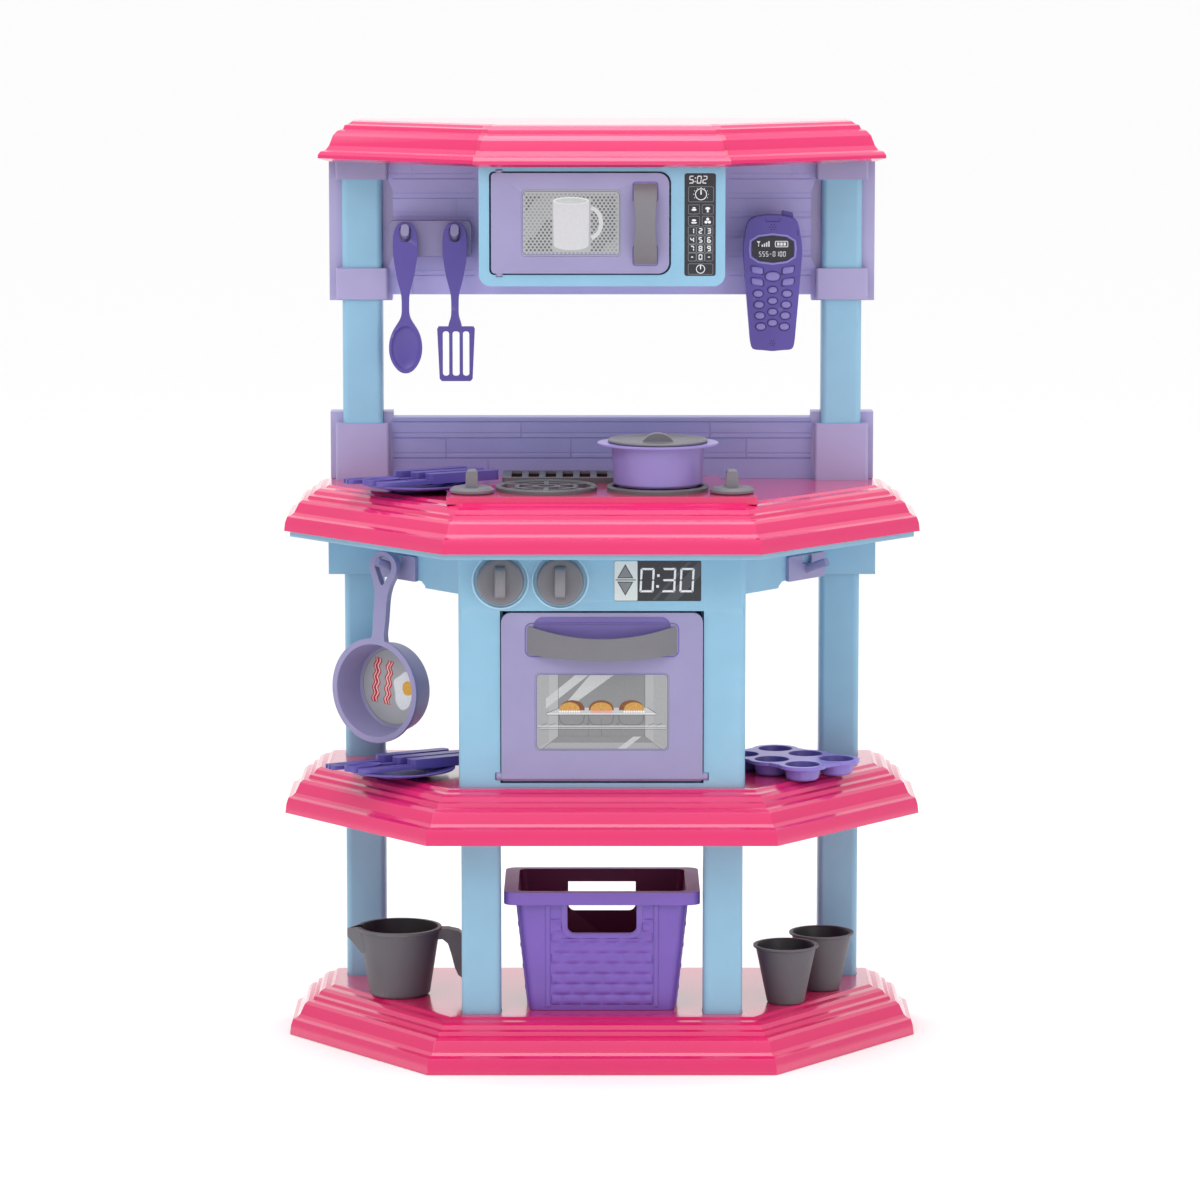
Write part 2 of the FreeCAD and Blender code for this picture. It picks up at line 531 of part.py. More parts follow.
# ---------------------------------------------------------------------------
# canopy
# ---------------------------------------------------------------------------
CAN_W, CAN_CD, CAN_CW, CAN_FD, CAN_SD = 291.0, 215.0, 129.5, 95.0, 109.0
CAN_OUT = [(10.8, 0), (0, 3.2), (0.2, 6.4), (2.5, 9.6), (8, 11), (11.5, 15.3), (15.3, 24.9), (19.8, 29.3), (25.5, 30.9),
           (27.2, 34.6), (31, 35.6), (34.4, 38), (40, 39)]
CAN_IN = [(13.3, -1), (13.0, 1.6), (3.4, 4.6), (3.0, 5.9), (4.2, 7.4), (9.4, 8.8), (13.6, 14.2), (17.3, 23.6), (20.9, 27.1),
          (27.0, 28.8), (28.8, 32.6), (32.0, 33.4), (35.6, 35.7), (44.0, 36.5)]
side_pl = [(-CAN_CW, CAN_SD), (CAN_CW, CAN_SD), (CAN_W, CAN_CD), (CAN_W, DEPTH), (-CAN_W, DEPTH), (-CAN_W, CAN_CD)]
mid_pl = [(-CAN_CW, CAN_FD), (CAN_CW, CAN_FD), (CAN_CW, DEPTH), (-CAN_CW, DEPTH)]
SIDE_K = (TOTAL_H - CANOPY_Z) / 39.0
co = ring_solid(side_pl, CAN_OUT, CANOPY_Z, SIDE_K, [1, 1, 1, 0, 1, 1], [0] * 6).fuse(
    ring_solid(mid_pl, CAN_OUT, CANOPY_Z, SIDE_K, [1, 0.55, 0, 0.55], [0] * 4))
ci = ring_solid(side_pl, CAN_IN, CANOPY_Z, SIDE_K, [1, 1, 1, 0, 1, 1], [0, 0, 0, WALL, 0, 0]).fuse(
    ring_solid(mid_pl, CAN_IN, CANOPY_Z, SIDE_K, [1, 0.55, 0, 0.55], [0, 1.6, WALL, 1.6]))
can = save("canopy", co.cut(ci))

# ---------------------------------------------------------------------------
# microwave
# ---------------------------------------------------------------------------
ox0, ox1, oz0, oz1 = MW_OPEN
mw = rry(-MW_X, MW_X, MW_Z0, MW_TOP, MW_D, BACK_D0, (12, 12, 0, 0)).cut(
    rry(-MW_X + WALL, MW_X - WALL, MW_Z0 + WALL, MW_TOP - 2.0, MW_D + WALL, BACK_D0 + 1, (9.5, 9.5, 0, 0)))
tub = box(ox0 - WALL, ox1 + WALL, MW_D + 1, 129.5, oz0 - WALL, MW_TOP - 1)
cav = box(-106.5, 62.5, 127.0, 252.5, 804.5, 895.5)
mw = fuse(mw, tub, cav)
mw = mw.cut(rry(ox0, ox1, oz0, oz1, MW_D - 1, 127.0, (5, 12, 12, 5)))
mw = mw.cut(box(-104.0, 60.0, 120.0, 250.0, 807.0, 893.0))
mw = mw.cut(cyl_z(MW_HX, MW_HD, 795.6, 798.5, MW_HR + RUN))
mw = mw.cut(cyl_z(MW_HX, MW_HD, 900.5, 903.4, MW_HR + RUN))
px0, px1, pz0, pz1 = PANEL_LABEL
mw = mw.cut(rry(px0, px1, pz0, pz1, MW_D - 1, MW_D + 0.6, 2.5))
mw = save("microwave_cabinet", mw)
save("microwave_control_label", rry(px0 + 0.2, px1 - 0.2, pz0 + 0.2, pz1 - 0.2, MW_D + 0.15, MW_D + 0.6, 2.3))

mx0, mx1, mz0, mz1 = MWD
md = rry(mx0, mx1, mz0, mz1, 110.0, 122.0, (4, 11, 11, 4)).cut(
    rry(mx0 + 3, mx1 - 3, mz0 + 3, mz1 - 3, 113.2, 123.0, (2, 8, 8, 2)))
md = md.cut(rry(-81.3, 19.0, 816.2, 883.2, 109.0, 111.0, 4.5))
md = fuse(md, cyl_z(MW_HX, MW_HD, 796.2, 800.0, MW_HR), cyl_z(MW_HX, MW_HD, 899.0, 902.8, MW_HR))
md = md.fuse(box(MW_HX - 6, MW_HX + 6, 112.0, 119.0, 799.0, 803.0)).fuse(box(MW_HX - 6, MW_HX + 6, 112.0, 119.0, 896.0, 900.0))
md = save("microwave_door", md)
save("microwave_window_label", rry(-80.9, 18.6, 816.6, 882.8, 110.5, 111.0, 4.2))

hx = 31.7
hb = arc2(V(hx, yy(110), 808), V(hx, yy(95), 849), V(hx, yy(110), 890), V(hx, yy(110), 884), V(hx, yy(99.8), 849), V(hx, yy(110), 814)).extrude(V(23.5, 0, 0))
hw = prism_xz([(31.7, 806), (55.2, 806), (55.2, 822), (53.2, 849), (55.2, 876), (55.2, 892), (31.7, 892), (31.7, 876), (33.7, 849), (31.7, 822)], 90, 111)
save("microwave_handle", hb.common(hw))

# ---------------------------------------------------------------------------
# hooks for the pan, on the aprons
# ---------------------------------------------------------------------------
HK_X, HK_D, HK_Z = 208.2, 194.3, 487.2


def hook():
    p = rry(-31, 31, 478.0, 503.5, DEPTH / 2 - 4.0, DEPTH / 2 - 0.06, 2.0)
    p = p.cut(rry(-8, 8, 491.0 + 3.0, 503.0, DEPTH / 2 - 6, DEPTH / 2 + 1, 2.0))
    p.rotate(V(0, 0, 0), V(0, 0, 1), APRON_YAW)
    p.translate(V(HK_X, yy(HK_D), 0))
    q = peg(HK_X, HK_D, HK_Z, 7.0, 9.0, 31.0, -2.8, APRON_YAW)
    return p.fuse(q)


hk = hook()
hk_r = save("pan_hook_right", hk)
hk_l = save("pan_hook_left", mirror(hk))

# ---------------------------------------------------------------------------
# pan hanging on the left hook
# ---------------------------------------------------------------------------
PAN_YAW, PAN_ROLL = -35.0, 5.5
PAN_AT = (-208.2 - 20.0 * ANX, HK_D + 20.0 * AND, 491.6)
PAN_L = 130.0


def place_pan(s):
    s.rotate(V(0, 0, 0), V(0, 1, 0), PAN_ROLL)
    s.rotate(V(0, 0, 0), V(0, 0, 1), PAN_YAW)
    s.translate(V(PAN_AT[0], yy(PAN_AT[1]), PAN_AT[2]))
    return s


def turn_y(pts, cz):
    w = Part.makePolygon([V(r, y, cz) for r, y in pts + [pts[0]]])
    return Part.Face(w).revolve(V(0, 0, cz), V(0, 1, 0), 360)


def pan():
    cz = -PAN_L
    bowl = turn_y([(0, 34.0), (44.0, 34.0), (46.5, 31.5), (51.0, 1.5), (54.5, 1.5), (54.5, -2.5), (48.5, -2.5),
                   (47.8, -1.0), (43.5, 30.0), (42.0, 31.5), (0, 31.5)], cz)
    ring = Part.Face(Part.Wire([outline([(17.5, 0), (12.5, 11.5), (0, 16.5), (-12.5, 11.5), (-17.5, 0), (-13.0, -13), (-9.0, -25), (-7.9, -40),
                                         (-7.9, -60), (-8.3, -74), (-10, -84), (0, -88), (10, -84), (8.3, -74), (7.9, -60), (7.9, -40), (9.0, -25), (13.0, -13)]).toShape()])).extrude(V(0, 7.5, 0))
    ring.translate(V(0, -2.5, 0))
    hole = Part.Face(Part.Wire([outline([(10.6, 1), (7.4, 8.0), (0, 11.0), (-7.4, 8.0), (-10.6, 1), (-6.4, -9), (0, -18.5), (6.4, -9)]).toShape()])).extrude(V(0, 16, 0))
    hole.translate(V(0, -6, 0))
    s = fuse(ring, bowl).cut(hole)
    inside = turn_y([(0, -20), (48.5, -20), (48.5, -2.5), (47.8, -1.0), (43.5, 30.0), (42.0, 31.5), (0, 31.5)], cz)
    return s.cut(inside)


pan_s = place_pan(pan())
pan_s = save("pan", pan_s)
lab = Part.makeCylinder(41.0, 0.45, V(0, 31.05, -PAN_L), V(0, 1, 0))
save("pan_food_label", place_pan(lab))

# ---------------------------------------------------------------------------
# hanging spoon and spatula
# ---------------------------------------------------------------------------
UT_D0, UT_D1 = 227.5, 233.5


def hang_hole(x):
    # the peg's own sloping section with room at the sides and below
    return peg(x, RK_D, PEG_Z, 12.0, 17.0, 40.0, -4.0, 0.0, 1.7)


def profile_solid(x, half, d0, d1):
    pts = [(x + w, z) for w, z in half] + [(x - w, z) for w, z in reversed(half) if w > 0]
    f = Part.Face(Part.Wire([outline(pts).toShape()]))
    s = f.extrude(V(0, d1 - d0, 0))
    s.translate(V(0, yy(d0), 0))
    return s


SP_HALF = [(0, 843), (7.2, 840.6), (11.0, 834), (12.5, 824), (12.3, 810), (10.4, 795), (7.2, 780), (4.3, 768), (3.8, 756),
           (4.6, 746), (8.0, 739), (13.0, 731), (16.4, 721), (17.1, 712), (15.4, 702), (10.5, 693), (5.0, 688.2), (0, 687)]
sp = profile_solid(RK_X[0], SP_HALF, UT_D0, UT_D1)
bowl = Part.makeSphere(1.0)
m = FreeCAD.Matrix()
m.scale(14.6, 4.6, 22.5)
bowl = bowl.transformGeometry(m)
bowl.translate(V(RK_X[0], yy(UT_D0 - 0.4), 713.5))
sp = sp.cut(bowl).cut(hang_hole(RK_X[0]))
sp = save("serving_spoon", sp)

SA_HALF = [(0, 843), (7.2, 840.6), (11.0, 834), (12.5, 824), (12.3, 810), (10.4, 795), (7.2, 780), (4.3, 768), (3.8, 756),
           (4.4, 745), (6.5, 738), (6.0, 731), (0, 730)]
sa = profile_solid(RK_X[1], SA_HALF, UT_D0, UT_D1)
xb = -150.4
blade = prism_xz([(xb - 19.4, 733), (xb - 18.0, 735.6), (xb + 18.0, 735.6), (xb + 19.4, 733), (xb + 17.0, 681.5), (xb + 14.8, 679),
                  (xb - 14.8, 679), (xb - 17.0, 681.5)], UT_D0 + 0.5, UT_D0 + 4.0)
for dx, w in ((-10.6, 3.3), (0.0, 3.6), (10.6, 3.3)):
    blade = blade.cut(rry(xb + dx * 0.98 - w, xb + dx * 0.98 + w, 684.5, 730.5, 220, 240, 2.8))
sa = sa.fuse(blade)
sa = sa.cut(fuse(*[rry(xb + dx * 0.98 - w, xb + dx * 0.98 + w, 684.5, 730.5, 220, 240, 2.8) for dx, w in ((-10.6, 3.3), (0.0, 3.6), (10.6, 3.3))]))
sa = sa.cut(hang_hole(RK_X[1]))
sa = save("spatula", sa)

# ---------------------------------------------------------------------------
# telephone
# ---------------------------------------------------------------------------
PHN_D0, PHN_D1 = 214.0, 236.0
PHN = [(0, 851.2), (10, 850.6), (19, 848.4), (24.5, 845.0), (26.8, 839), (29.0, 828), (30.2, 815), (29.4, 800), (27.8, 780),
       (25.8, 755), (23.8, 732), (22.4, 719), (20.8, 714.5), (12, 712.4), (0, 711.4)]
phn = profile_solid(PH_X, PHN, PHN_D0, PHN_D1)
phn = phn.fuse(prism_xz([(PH_X + 7.5, 845), (PH_X + 10.0, 855.2), (PH_X + 20.5, 852.8), (PH_X + 22.5, 842)], PHN_D0 + 5, PHN_D1 - 4))
phn = phn.cut(peg(PH_X, PH_D, PH_Z, 12.0, 17.0, 22.5, 30.0, 0.0, 1.7))
disp = [(-21.5, 824), (-14, 828.6), (0, 830.2), (14, 828.6), (21.5, 824), (21.5, 809), (14, 804.2), (0, 802.4), (-14, 804.2), (-21.5, 809)]
phn = phn.cut(prism_xz([(PH_X + a, b) for a, b in disp], PHN_D0 - 1, PHN_D0 + 0.8))
for kx, kz, kw, kh in ([(-15.8, 794.5, 5.8, 4.2), (15.8, 794.5, 5.8, 4.2), (-15.8, 782.5, 5.8, 4.2), (15.8, 782.5, 5.8, 4.2), (0, 788.3, 7.2, 4.4)] +
                       [(s * (14.8 - 0.9 * r), 770.5 - 11.3 * r, 4.6, 3.2) for r in range(4) for s in (-1, 1)] +
                       [(0, 774.4 - 11.3 * r, 4.4, 3.0) for r in range(4)]):
    phn = phn.fuse(rry(PH_X + kx - kw, PH_X + kx + kw, kz - kh, kz + kh, PHN_D0 - 1.0, PHN_D0 + 2.0, min(kw, kh) * 0.9))
phn = save("phone", phn)
save("phone_display_label", prism_xz([(PH_X + a * 0.98, 816.3 + (b - 816.3) * 0.97) for a, b in disp], PHN_D0 + 0.4, PHN_D0 + 0.8))

# ---------------------------------------------------------------------------
# pot and lid on the right burner
# ---------------------------------------------------------------------------
POT_X, POT_D = 56.5, 110.0
POT_Z = STOVE_TOP + 5.0 + REST
POT_H = 43.5
pot = turn(POT_X, POT_D, [(0, 0), (42.5, 0), (45.0, 2.5), (47.0, POT_H), (0, POT_H)], POT_Z)
el = Part.Ellipse(V(POT_X, yy(POT_D), POT_Z + POT_H - 2.6), 61.3, 53.5)
pot = pot.fuse(Part.Face(Part.Wire([el.toShape()])).extrude(V(0, 0, 2.6)))
pot = pot.cut(turn(POT_X, POT_D, [(0, 2.4), (41.5, 2.4), (42.9, 4.0), (44.8, POT_H + 1), (0, POT_H + 1)], POT_Z))
pot = save("pot", pot)

LID_Z = POT_Z + POT_H + REST
lid = turn(POT_X, POT_D, [(0, -2.5), (42.0, -2.5), (43.6, 0.0), (49.6, 0.0), (50.4, 0.8), (50.4, 2.0), (49.6, 2.8), (48.2, 2.7), (45.0, 1.4),
                          (40.0, 0.4), (0, 0.0)], LID_Z)
grip = cyl_y(POT_X, LID_Z - 9.5, POT_D - 5.0, POT_D + 5.0, 18.6).common(box(0, 120, 90, 130, LID_Z - 1.0, LID_Z + 20))
lid = save("pot_lid", lid.fuse(grip))

# ---------------------------------------------------------------------------
# plates and cutlery
# ---------------------------------------------------------------------------
PLATE = [(0, 0), (27.0, 0), (33.0, 2.2), (55.2, 6.8), (56.0, 7.6), (56.0, 9.0), (54.8, 9.0), (32.0, 4.4), (27.0, 2.5), (0, 2.5)]
CUT_L, CUT_YAW = 138.0, 30.0
CUT_REST = 9.0 + REST


def handle_bar():
    h = rrect(56, CUT_L, -6.8, 6.8, 5.5, lambda u, v: V(u, v, 0))
    s = Part.Face(h).extrude(V(0, 0, 10.0))
    n = Part.makeBox(26, 7.0, 4.6, V(34, -3.5, 0))
    return s.fuse(n)


def fork():
    s = handle_bar().fuse(Part.Face(rrect(0, 38, -9.4, 9.4, 3.5, lambda u, v: V(u, v, 0))).extrude(V(0, 0, 4.2)))
    for yc in (-3.4, 3.4):
        s = s.cut(Part.makeBox(23, 3.0, 12, V(-1, yc - 1.5, -1)))
    return s


def knife():
    b = Part.Face(Part.makePolygon([V(0, 3.0, 0), V(4, -3.5, 0), V(14, -6.8, 0), V(58, -6.8, 0), V(58, 6.8, 0), V(3, 6.8, 0), V(0, 3.0, 0)])).extrude(V(0, 0, 4.0))
    return handle_bar().fuse(b)


def spoon():
    e = Part.Ellipse(V(21, 0, 0), 21, 10.6)
    b = Part.Face(Part.Wire([e.toShape()])).extrude(V(0, 0, 5.4))
    d_ = Part.makeSphere(1.0)
    mm = FreeCAD.Matrix()
    mm.scale(18.6, 8.6, 3.4)
    d_ = d_.transformGeometry(mm)
    d_.translate(V(21, 0, 5.7))
    return handle_bar().fuse(b).cut(d_)


def lay(s, cx, cd, cz, along, lateral):
    s.translate(V(along, lateral, CUT_REST))
    s.rotate(V(0, 0, 0), V(0, 0, 1), CUT_YAW)
    s.translate(V(cx, yy(cd), cz))
    return s


cutlery = {}
for tag, cx, cd, cz in (("counter", -187.0, 152.0, COUNTER + REST), ("shelf", -206.0, 127.0, MID_TOP + REST)):
    cutlery["plate_" + tag] = save("plate_" + tag, turn(cx, cd, PLATE, cz))
    cutlery["spoon_" + tag] = save("spoon_" + tag, lay(spoon(), cx, cd, cz, -64.0, 0.0))
    cutlery["knife_" + tag] = save("knife_" + tag, lay(knife(), cx, cd, cz, -57.0, -19.0))
    cutlery["fork_" + tag] = save("fork_" + tag, lay(fork(), cx, cd, cz, -72.0, 21.0))

# ---------------------------------------------------------------------------
# muffin tin
# ---------------------------------------------------------------------------
MT_X, MT_D, MT_Z, MT_H = 192.0, 152.0, MID_TOP + REST, 15.5
ra = math.radians(-46.0)
RX, RD = math.cos(ra), math.sin(ra)
AX, AD = RD, -RX
PR, PA = 43.5, 50.0
LIP = 3.8
cells = [(MT_X + i * PR * RX + j * PA * AX, MT_D + i * PR * RD + j * PA * AD) for i in (-1, 0, 1) for j in (-0.5, 0.5)]
tin = None
for cx, cd in cells:
    lobe = fuse(cyl_z(cx, cd, MT_Z + MT_H - LIP, MT_Z + MT_H, 24.0), turn(cx, cd, [(0, 0), (14.6, 0), (16.6, 2.0), (19.6, MT_H - 1), (0, MT_H - 1)], MT_Z))
    tin = lobe if tin is None else tin.fuse(lobe)
for wx, wd in ((PR + 19.0, PA / 2), (PR, PA / 2 + 19.0)):
    core = Part.makeBox(2 * wx, 2 * wd, LIP, V(-wx, -wd, MT_Z + MT_H - LIP))
    core.rotate(V(0, 0, 0), V(0, 0, 1), -46.0)
    core.translate(V(MT_X, yy(MT_D), 0))
    tin = tin.fuse(core)
for cx, cd in cells:
    tin = tin.cut(turn(cx, cd, [(0, 2.0), (13.2, 2.0), (14.8, 3.6), (17.9, MT_H + 1), (0, MT_H + 1)], MT_Z))
tin = save("muffin_tin", tin)

# ---------------------------------------------------------------------------
# jug and cups
# ---------------------------------------------------------------------------
JX, JD, JZ, JH = -209.0, 156.0, BASE_TOP + REST, 71.0
jt = JZ + JH
JOUT = [(0, 0), (28.8, 0), (31.3, 2.5), (42.0, JH), (0, JH)]
jug = turn(JX, JD, JOUT, JZ)
spo = prism([(JX - 30, JD - 17), (JX - 54, JD - 1.5), (JX - 54, JD + 1.5), (JX - 30, JD + 17)], jt - 26, jt).common(
    prism_xz([(JX - 60, jt - 4.2), (JX - 41, jt + 0.5), (JX - 20, jt + 1), (JX - 20, jt - 27), (JX - 38, jt - 27)], JD - 30, JD + 30))
spi = prism([(JX - 24, JD - 17.5), (JX - 51, JD), (JX - 24, JD + 17.5)], jt - 24, jt + 2).common(
    prism_xz([(JX - 56, jt + 2), (JX - 18, jt + 2), (JX - 18, jt - 24), (JX - 34.5, jt - 24)], JD - 30, JD + 30))
lip = turn(JX, JD, [(38, JH - 3.0), (43.4, JH - 3.0), (43.4, JH), (38, JH)], JZ)
hnd = prism_xz([(JX + 36, jt - 13), (JX + 36, jt - 1.6), (JX + 50, jt - 1.6), (JX + 61, jt - 4.0), (JX + 69, jt - 11), (JX + 73, jt - 24),
                (JX + 74.5, jt - 46), (JX + 72, jt - 52), (JX + 65, jt - 53.5), (JX + 60.5, jt - 50), (JX + 57, jt - 42), (JX + 53.5, jt - 28),
                (JX + 50.0, jt - 17), (JX + 44.5, jt - 12.5)], JD - 7.5, JD + 7.5)
jug = fuse(jug, spo, lip, hnd).cut(turn(JX, JD, [(0, 2.4), (28.6, 2.4), (29.6, 4.0), (39.8, JH + 1), (0, JH + 1)], JZ)).cut(spi)
jug = save("jug", jug)


def cup(cx, cd):
    z = BASE_TOP + REST
    s = turn(cx, cd, [(0, 1.5), (16.5, 1.5), (17.5, 0), (18.6, 0), (19.3, 1.5), (30.8, 57.0), (33.5, 58.0), (33.5, 60.0), (30.4, 60.0), (29.2, 59.0),
                      (17.3, 3.6), (0, 3.6)], z)
    return s


save("cup_front", cup(188.6, 117.0))
save("cup_rear", cup(227.8, 182.0))

# ---------------------------------------------------------------------------
# basket
# ---------------------------------------------------------------------------
BZ0, BZ1 = BASE_TOP + REST, 174.5


def loft_rr(a, b, za, zb):
    wa = rrect(a[0], a[1], a[2], a[3], a[4], lambda u, v: V(u, yy(v), za))
    wb = rrect(b[0], b[1], b[2], b[3], b[4], lambda u, v: V(u, yy(v), zb))
    return Part.makeLoft([wa, wb], True, True)


bk = loft_rr((-74, 74, 75, 187, 8), (-87.5, 87.5, 69, 193, 10), BZ0, BZ1)
rim = rrz(-99.6, 99.6, 62, 200, BZ1 - 13.0, BZ1, 12).cut(rrz(-97.4, 97.4, 64.2, 197.8, BZ1 - 14, BZ1 - 2.4, 9.8))
bk = bk.fuse(rim)
bk = bk.cut(loft_rr((-71.6, 71.6, 77.4, 184.6, 6), (-85.4, 85.4, 71.1, 190.9, 8), BZ0 + 2.4, BZ1 + 1.0))
slot = rry(-35, 35, 131.0, BZ1 - 13.2, 64.5, 82.0, (7, 7, 0, 0))
slot2 = rry(-35, 35, 131.0, BZ1 - 13.2, 180.0, 197.5, (7, 7, 0, 0))
bk = bk.cut(slot).cut(slot2)
bk = save("basket", bk)

# ---------------------------------------------------------------------------
# clearances that matter
# ---------------------------------------------------------------------------
def clash(n1, a, n2, b):
    v = a.common(b).Volume
    if v > 1e-3:
        print("OVERLAP %s / %s %.3f mm3" % (n1, n2, v))


clash("pan", pan_s, "hook", hk_l)
clash("spoon", sp, "rack", rack)
clash("spatula", sa, "rack", rack)
clash("phone", phn, "panel", up)
clash("box", ob, "cab", cab)
clash("door", door, "cab", cab)
clash("mdoor", md, "mw", mw)
clash("frame", frame_, "top", ctop)
clash("frame", frame_, "cab", cab)
clash("panel", up, "mw", mw)
clash("canopy", can, "mw", mw)
clash("tin", tin, "mid", mid)
clash("jug", jug, "base", base)
clash("splash", spl, "top", ctop)
clash("hook", hk_l, "frame", frame_)
clash("hook", hk_r, "frame", frame_)
for nm, q in cutlery.items():
    clash(nm, q, "top", ctop)
    clash(nm, q, "mid", mid)
    clash(nm, q, "pan", pan_s)
    clash(nm, q, "cab", cab)
    clash(nm, q, "knob", skl)
print("done")
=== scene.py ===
import json
import math
import bpy
import bmesh
from mathutils import Vector, Matrix


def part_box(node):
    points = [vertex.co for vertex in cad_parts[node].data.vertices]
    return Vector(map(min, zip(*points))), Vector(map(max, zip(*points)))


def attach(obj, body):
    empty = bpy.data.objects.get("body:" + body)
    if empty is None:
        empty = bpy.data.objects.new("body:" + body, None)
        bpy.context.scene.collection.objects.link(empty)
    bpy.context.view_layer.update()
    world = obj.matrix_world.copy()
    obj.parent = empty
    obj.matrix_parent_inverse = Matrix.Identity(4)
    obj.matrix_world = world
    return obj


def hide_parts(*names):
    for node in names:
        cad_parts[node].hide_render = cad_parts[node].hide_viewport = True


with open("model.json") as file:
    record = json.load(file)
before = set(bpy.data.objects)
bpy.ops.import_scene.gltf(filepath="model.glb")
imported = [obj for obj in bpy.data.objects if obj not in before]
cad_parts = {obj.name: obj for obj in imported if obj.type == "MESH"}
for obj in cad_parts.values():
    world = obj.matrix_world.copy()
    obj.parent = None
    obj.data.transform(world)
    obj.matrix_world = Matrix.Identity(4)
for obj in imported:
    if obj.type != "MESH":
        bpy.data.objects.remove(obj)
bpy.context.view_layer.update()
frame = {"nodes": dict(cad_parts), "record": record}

NODES = frame["nodes"]
BODY_OF = {n: b for b, ns in frame["record"]["behaviour"]["bodies"].items() for n in ns}
COLL = bpy.context.scene.collection


def Y(d):
    """Depth in mm behind the front edge of the shelves to metres in the frame."""
    return d / 1000.0 - 0.1425


# ---------------------------------------------------------------------------
# materials
# ---------------------------------------------------------------------------
def lin(c):
    return tuple((v / 255.0 / 12.92) if v <= 10 else ((v / 255.0 + 0.055) / 1.055) ** 2.4 for v in c)


def shade(c, k):
    return tuple(min(1.0, max(0.0, v * k)) for v in c)


def plastic(name, rgb, rough=0.38, vary=0.05, grain=1400.0, bump=0.00001, wear=0.10, coat=0.0, mottle=28.0, spec=0.5, tint=None):
    """Moulded plastic: cloudy colour, uneven gloss, fine texture and paler worn edges."""
    m = bpy.data.materials.new(name)
    m.use_nodes = True
    nt = m.node_tree
    N, L = nt.nodes, nt.links
    bsdf = N["Principled BSDF"]
    c = lin(rgb)
    co = N.new("ShaderNodeTexCoord")
    cloud = N.new("ShaderNodeTexNoise")
    cloud.inputs["Scale"].default_value = mottle
    cloud.inputs["Detail"].default_value = 4.0
    cloud.inputs["Roughness"].default_value = 0.55
    L.new(co.outputs["Object"], cloud.inputs["Vector"])
    ramp = N.new("ShaderNodeValToRGB")
    ramp.color_ramp.elements[0].position = 0.32
    ramp.color_ramp.elements[1].position = 0.70
    lo, hi = shade(c, 1.0 - vary), shade(c, 1.0 + vary)
    if tint:
        hi = lin(tint)
    ramp.color_ramp.elements[0].color = (*lo, 1)
    ramp.color_ramp.elements[1].color = (*hi, 1)
    L.new(cloud.outputs["Fac"], ramp.inputs["Fac"])
    geo = N.new("ShaderNodeNewGeometry")
    edge = N.new("ShaderNodeMapRange")
    edge.inputs["From Min"].default_value = 0.52
    edge.inputs["From Max"].default_value = 0.62
    edge.inputs["To Min"].default_value = 0.0
    edge.inputs["To Max"].default_value = wear
    L.new(geo.outputs["Pointiness"], edge.inputs["Value"])
    mix = N.new("ShaderNodeMix")
    mix.data_type = "RGBA"
    mix.inputs["B"].default_value = (*[v + (1 - v) * 0.45 for v in c], 1)
    L.new(edge.outputs["Result"], mix.inputs["Factor"])
    L.new(ramp.outputs["Color"], mix.inputs["A"])
    L.new(mix.outputs["Result"], bsdf.inputs["Base Color"])
    gl = N.new("ShaderNodeTexNoise")
    gl.inputs["Scale"].default_value = 30.0
    gl.inputs["Detail"].default_value = 3.0
    L.new(co.outputs["Object"], gl.inputs["Vector"])
    rr = N.new("ShaderNodeMapRange")
    rr.inputs["To Min"].default_value = max(0.03, rough - 0.05)
    rr.inputs["To Max"].default_value = min(1.0, rough + 0.05)
    L.new(gl.outputs["Fac"], rr.inputs["Value"])
    L.new(rr.outputs["Result"], bsdf.inputs["Roughness"])
    fine = N.new("ShaderNodeTexNoise")
    fine.inputs["Scale"].default_value = grain
    fine.inputs["Detail"].default_value = 2.0
    L.new(co.outputs["Object"], fine.inputs["Vector"])
    bp = N.new("ShaderNodeBump")
    bp.inputs["Strength"].default_value = 0.55
    bp.inputs["Distance"].default_value = bump
    L.new(fine.outputs["Fac"], bp.inputs["Height"])
    L.new(bp.outputs["Normal"], bsdf.inputs["Normal"])
    bsdf.inputs["Specular IOR Level"].default_value = spec
    if coat:
        bsdf.inputs["Coat Weight"].default_value = coat
        bsdf.inputs["Coat Roughness"].default_value = 0.11
    return m


def ink(name, rgb, rough=0.45, vary=0.06):
    """Printed ink: slightly uneven colour and gloss with a dot-fine tooth."""
    return plastic(name, rgb, rough=rough, vary=vary, grain=5200.0, bump=0.000006, wear=0.0, mottle=420.0)


MAT = {
    "pink": plastic("gloss_pink", (221, 34, 104), rough=0.22, vary=0.02, grain=700.0, bump=0.000002, wear=0.18, coat=1.0, mottle=9.0, spec=0.30),
    "light_blue": plastic("satin_light_blue", (139, 186, 213), rough=0.36, vary=0.03, bump=0.000008),
    "lavender": plastic("satin_lavender", (150, 144, 185), rough=0.38, vary=0.03, bump=0.000008),
    "violet": plastic("satin_violet", (90, 76, 158), rough=0.36, vary=0.05, bump=0.000008, wear=0.16),
    "basket_violet": plastic("basket_violet", (122, 92, 186), rough=0.40, vary=0.04, bump=0.000008),
    "grey": plastic("fine_matt_grey", (118, 115, 122), rough=0.48, vary=0.05, grain=2600.0, bump=0.00002),
    "dark_grey": plastic("fine_matt_dark_grey", (92, 90, 96), rough=0.50, vary=0.05, grain=2600.0, bump=0.00002),
    "sticker_grey": plastic("sticker_grey", (168, 170, 172), rough=0.30, vary=0.03, grain=3800.0, bump=0.000006, wear=0.0),
    "sticker_black": plastic("sticker_black", (44, 44, 50), rough=0.28, vary=0.08, grain=3800.0, bump=0.000006, wear=0.0),
}
# Darker violet for the shallow pocket above the oven handle: painted shade.
LAV_POCKET_SHADE = plastic("lavender_pocket_painted_shade", (118, 104, 172), rough=0.45, vary=0.04, bump=0.000008)
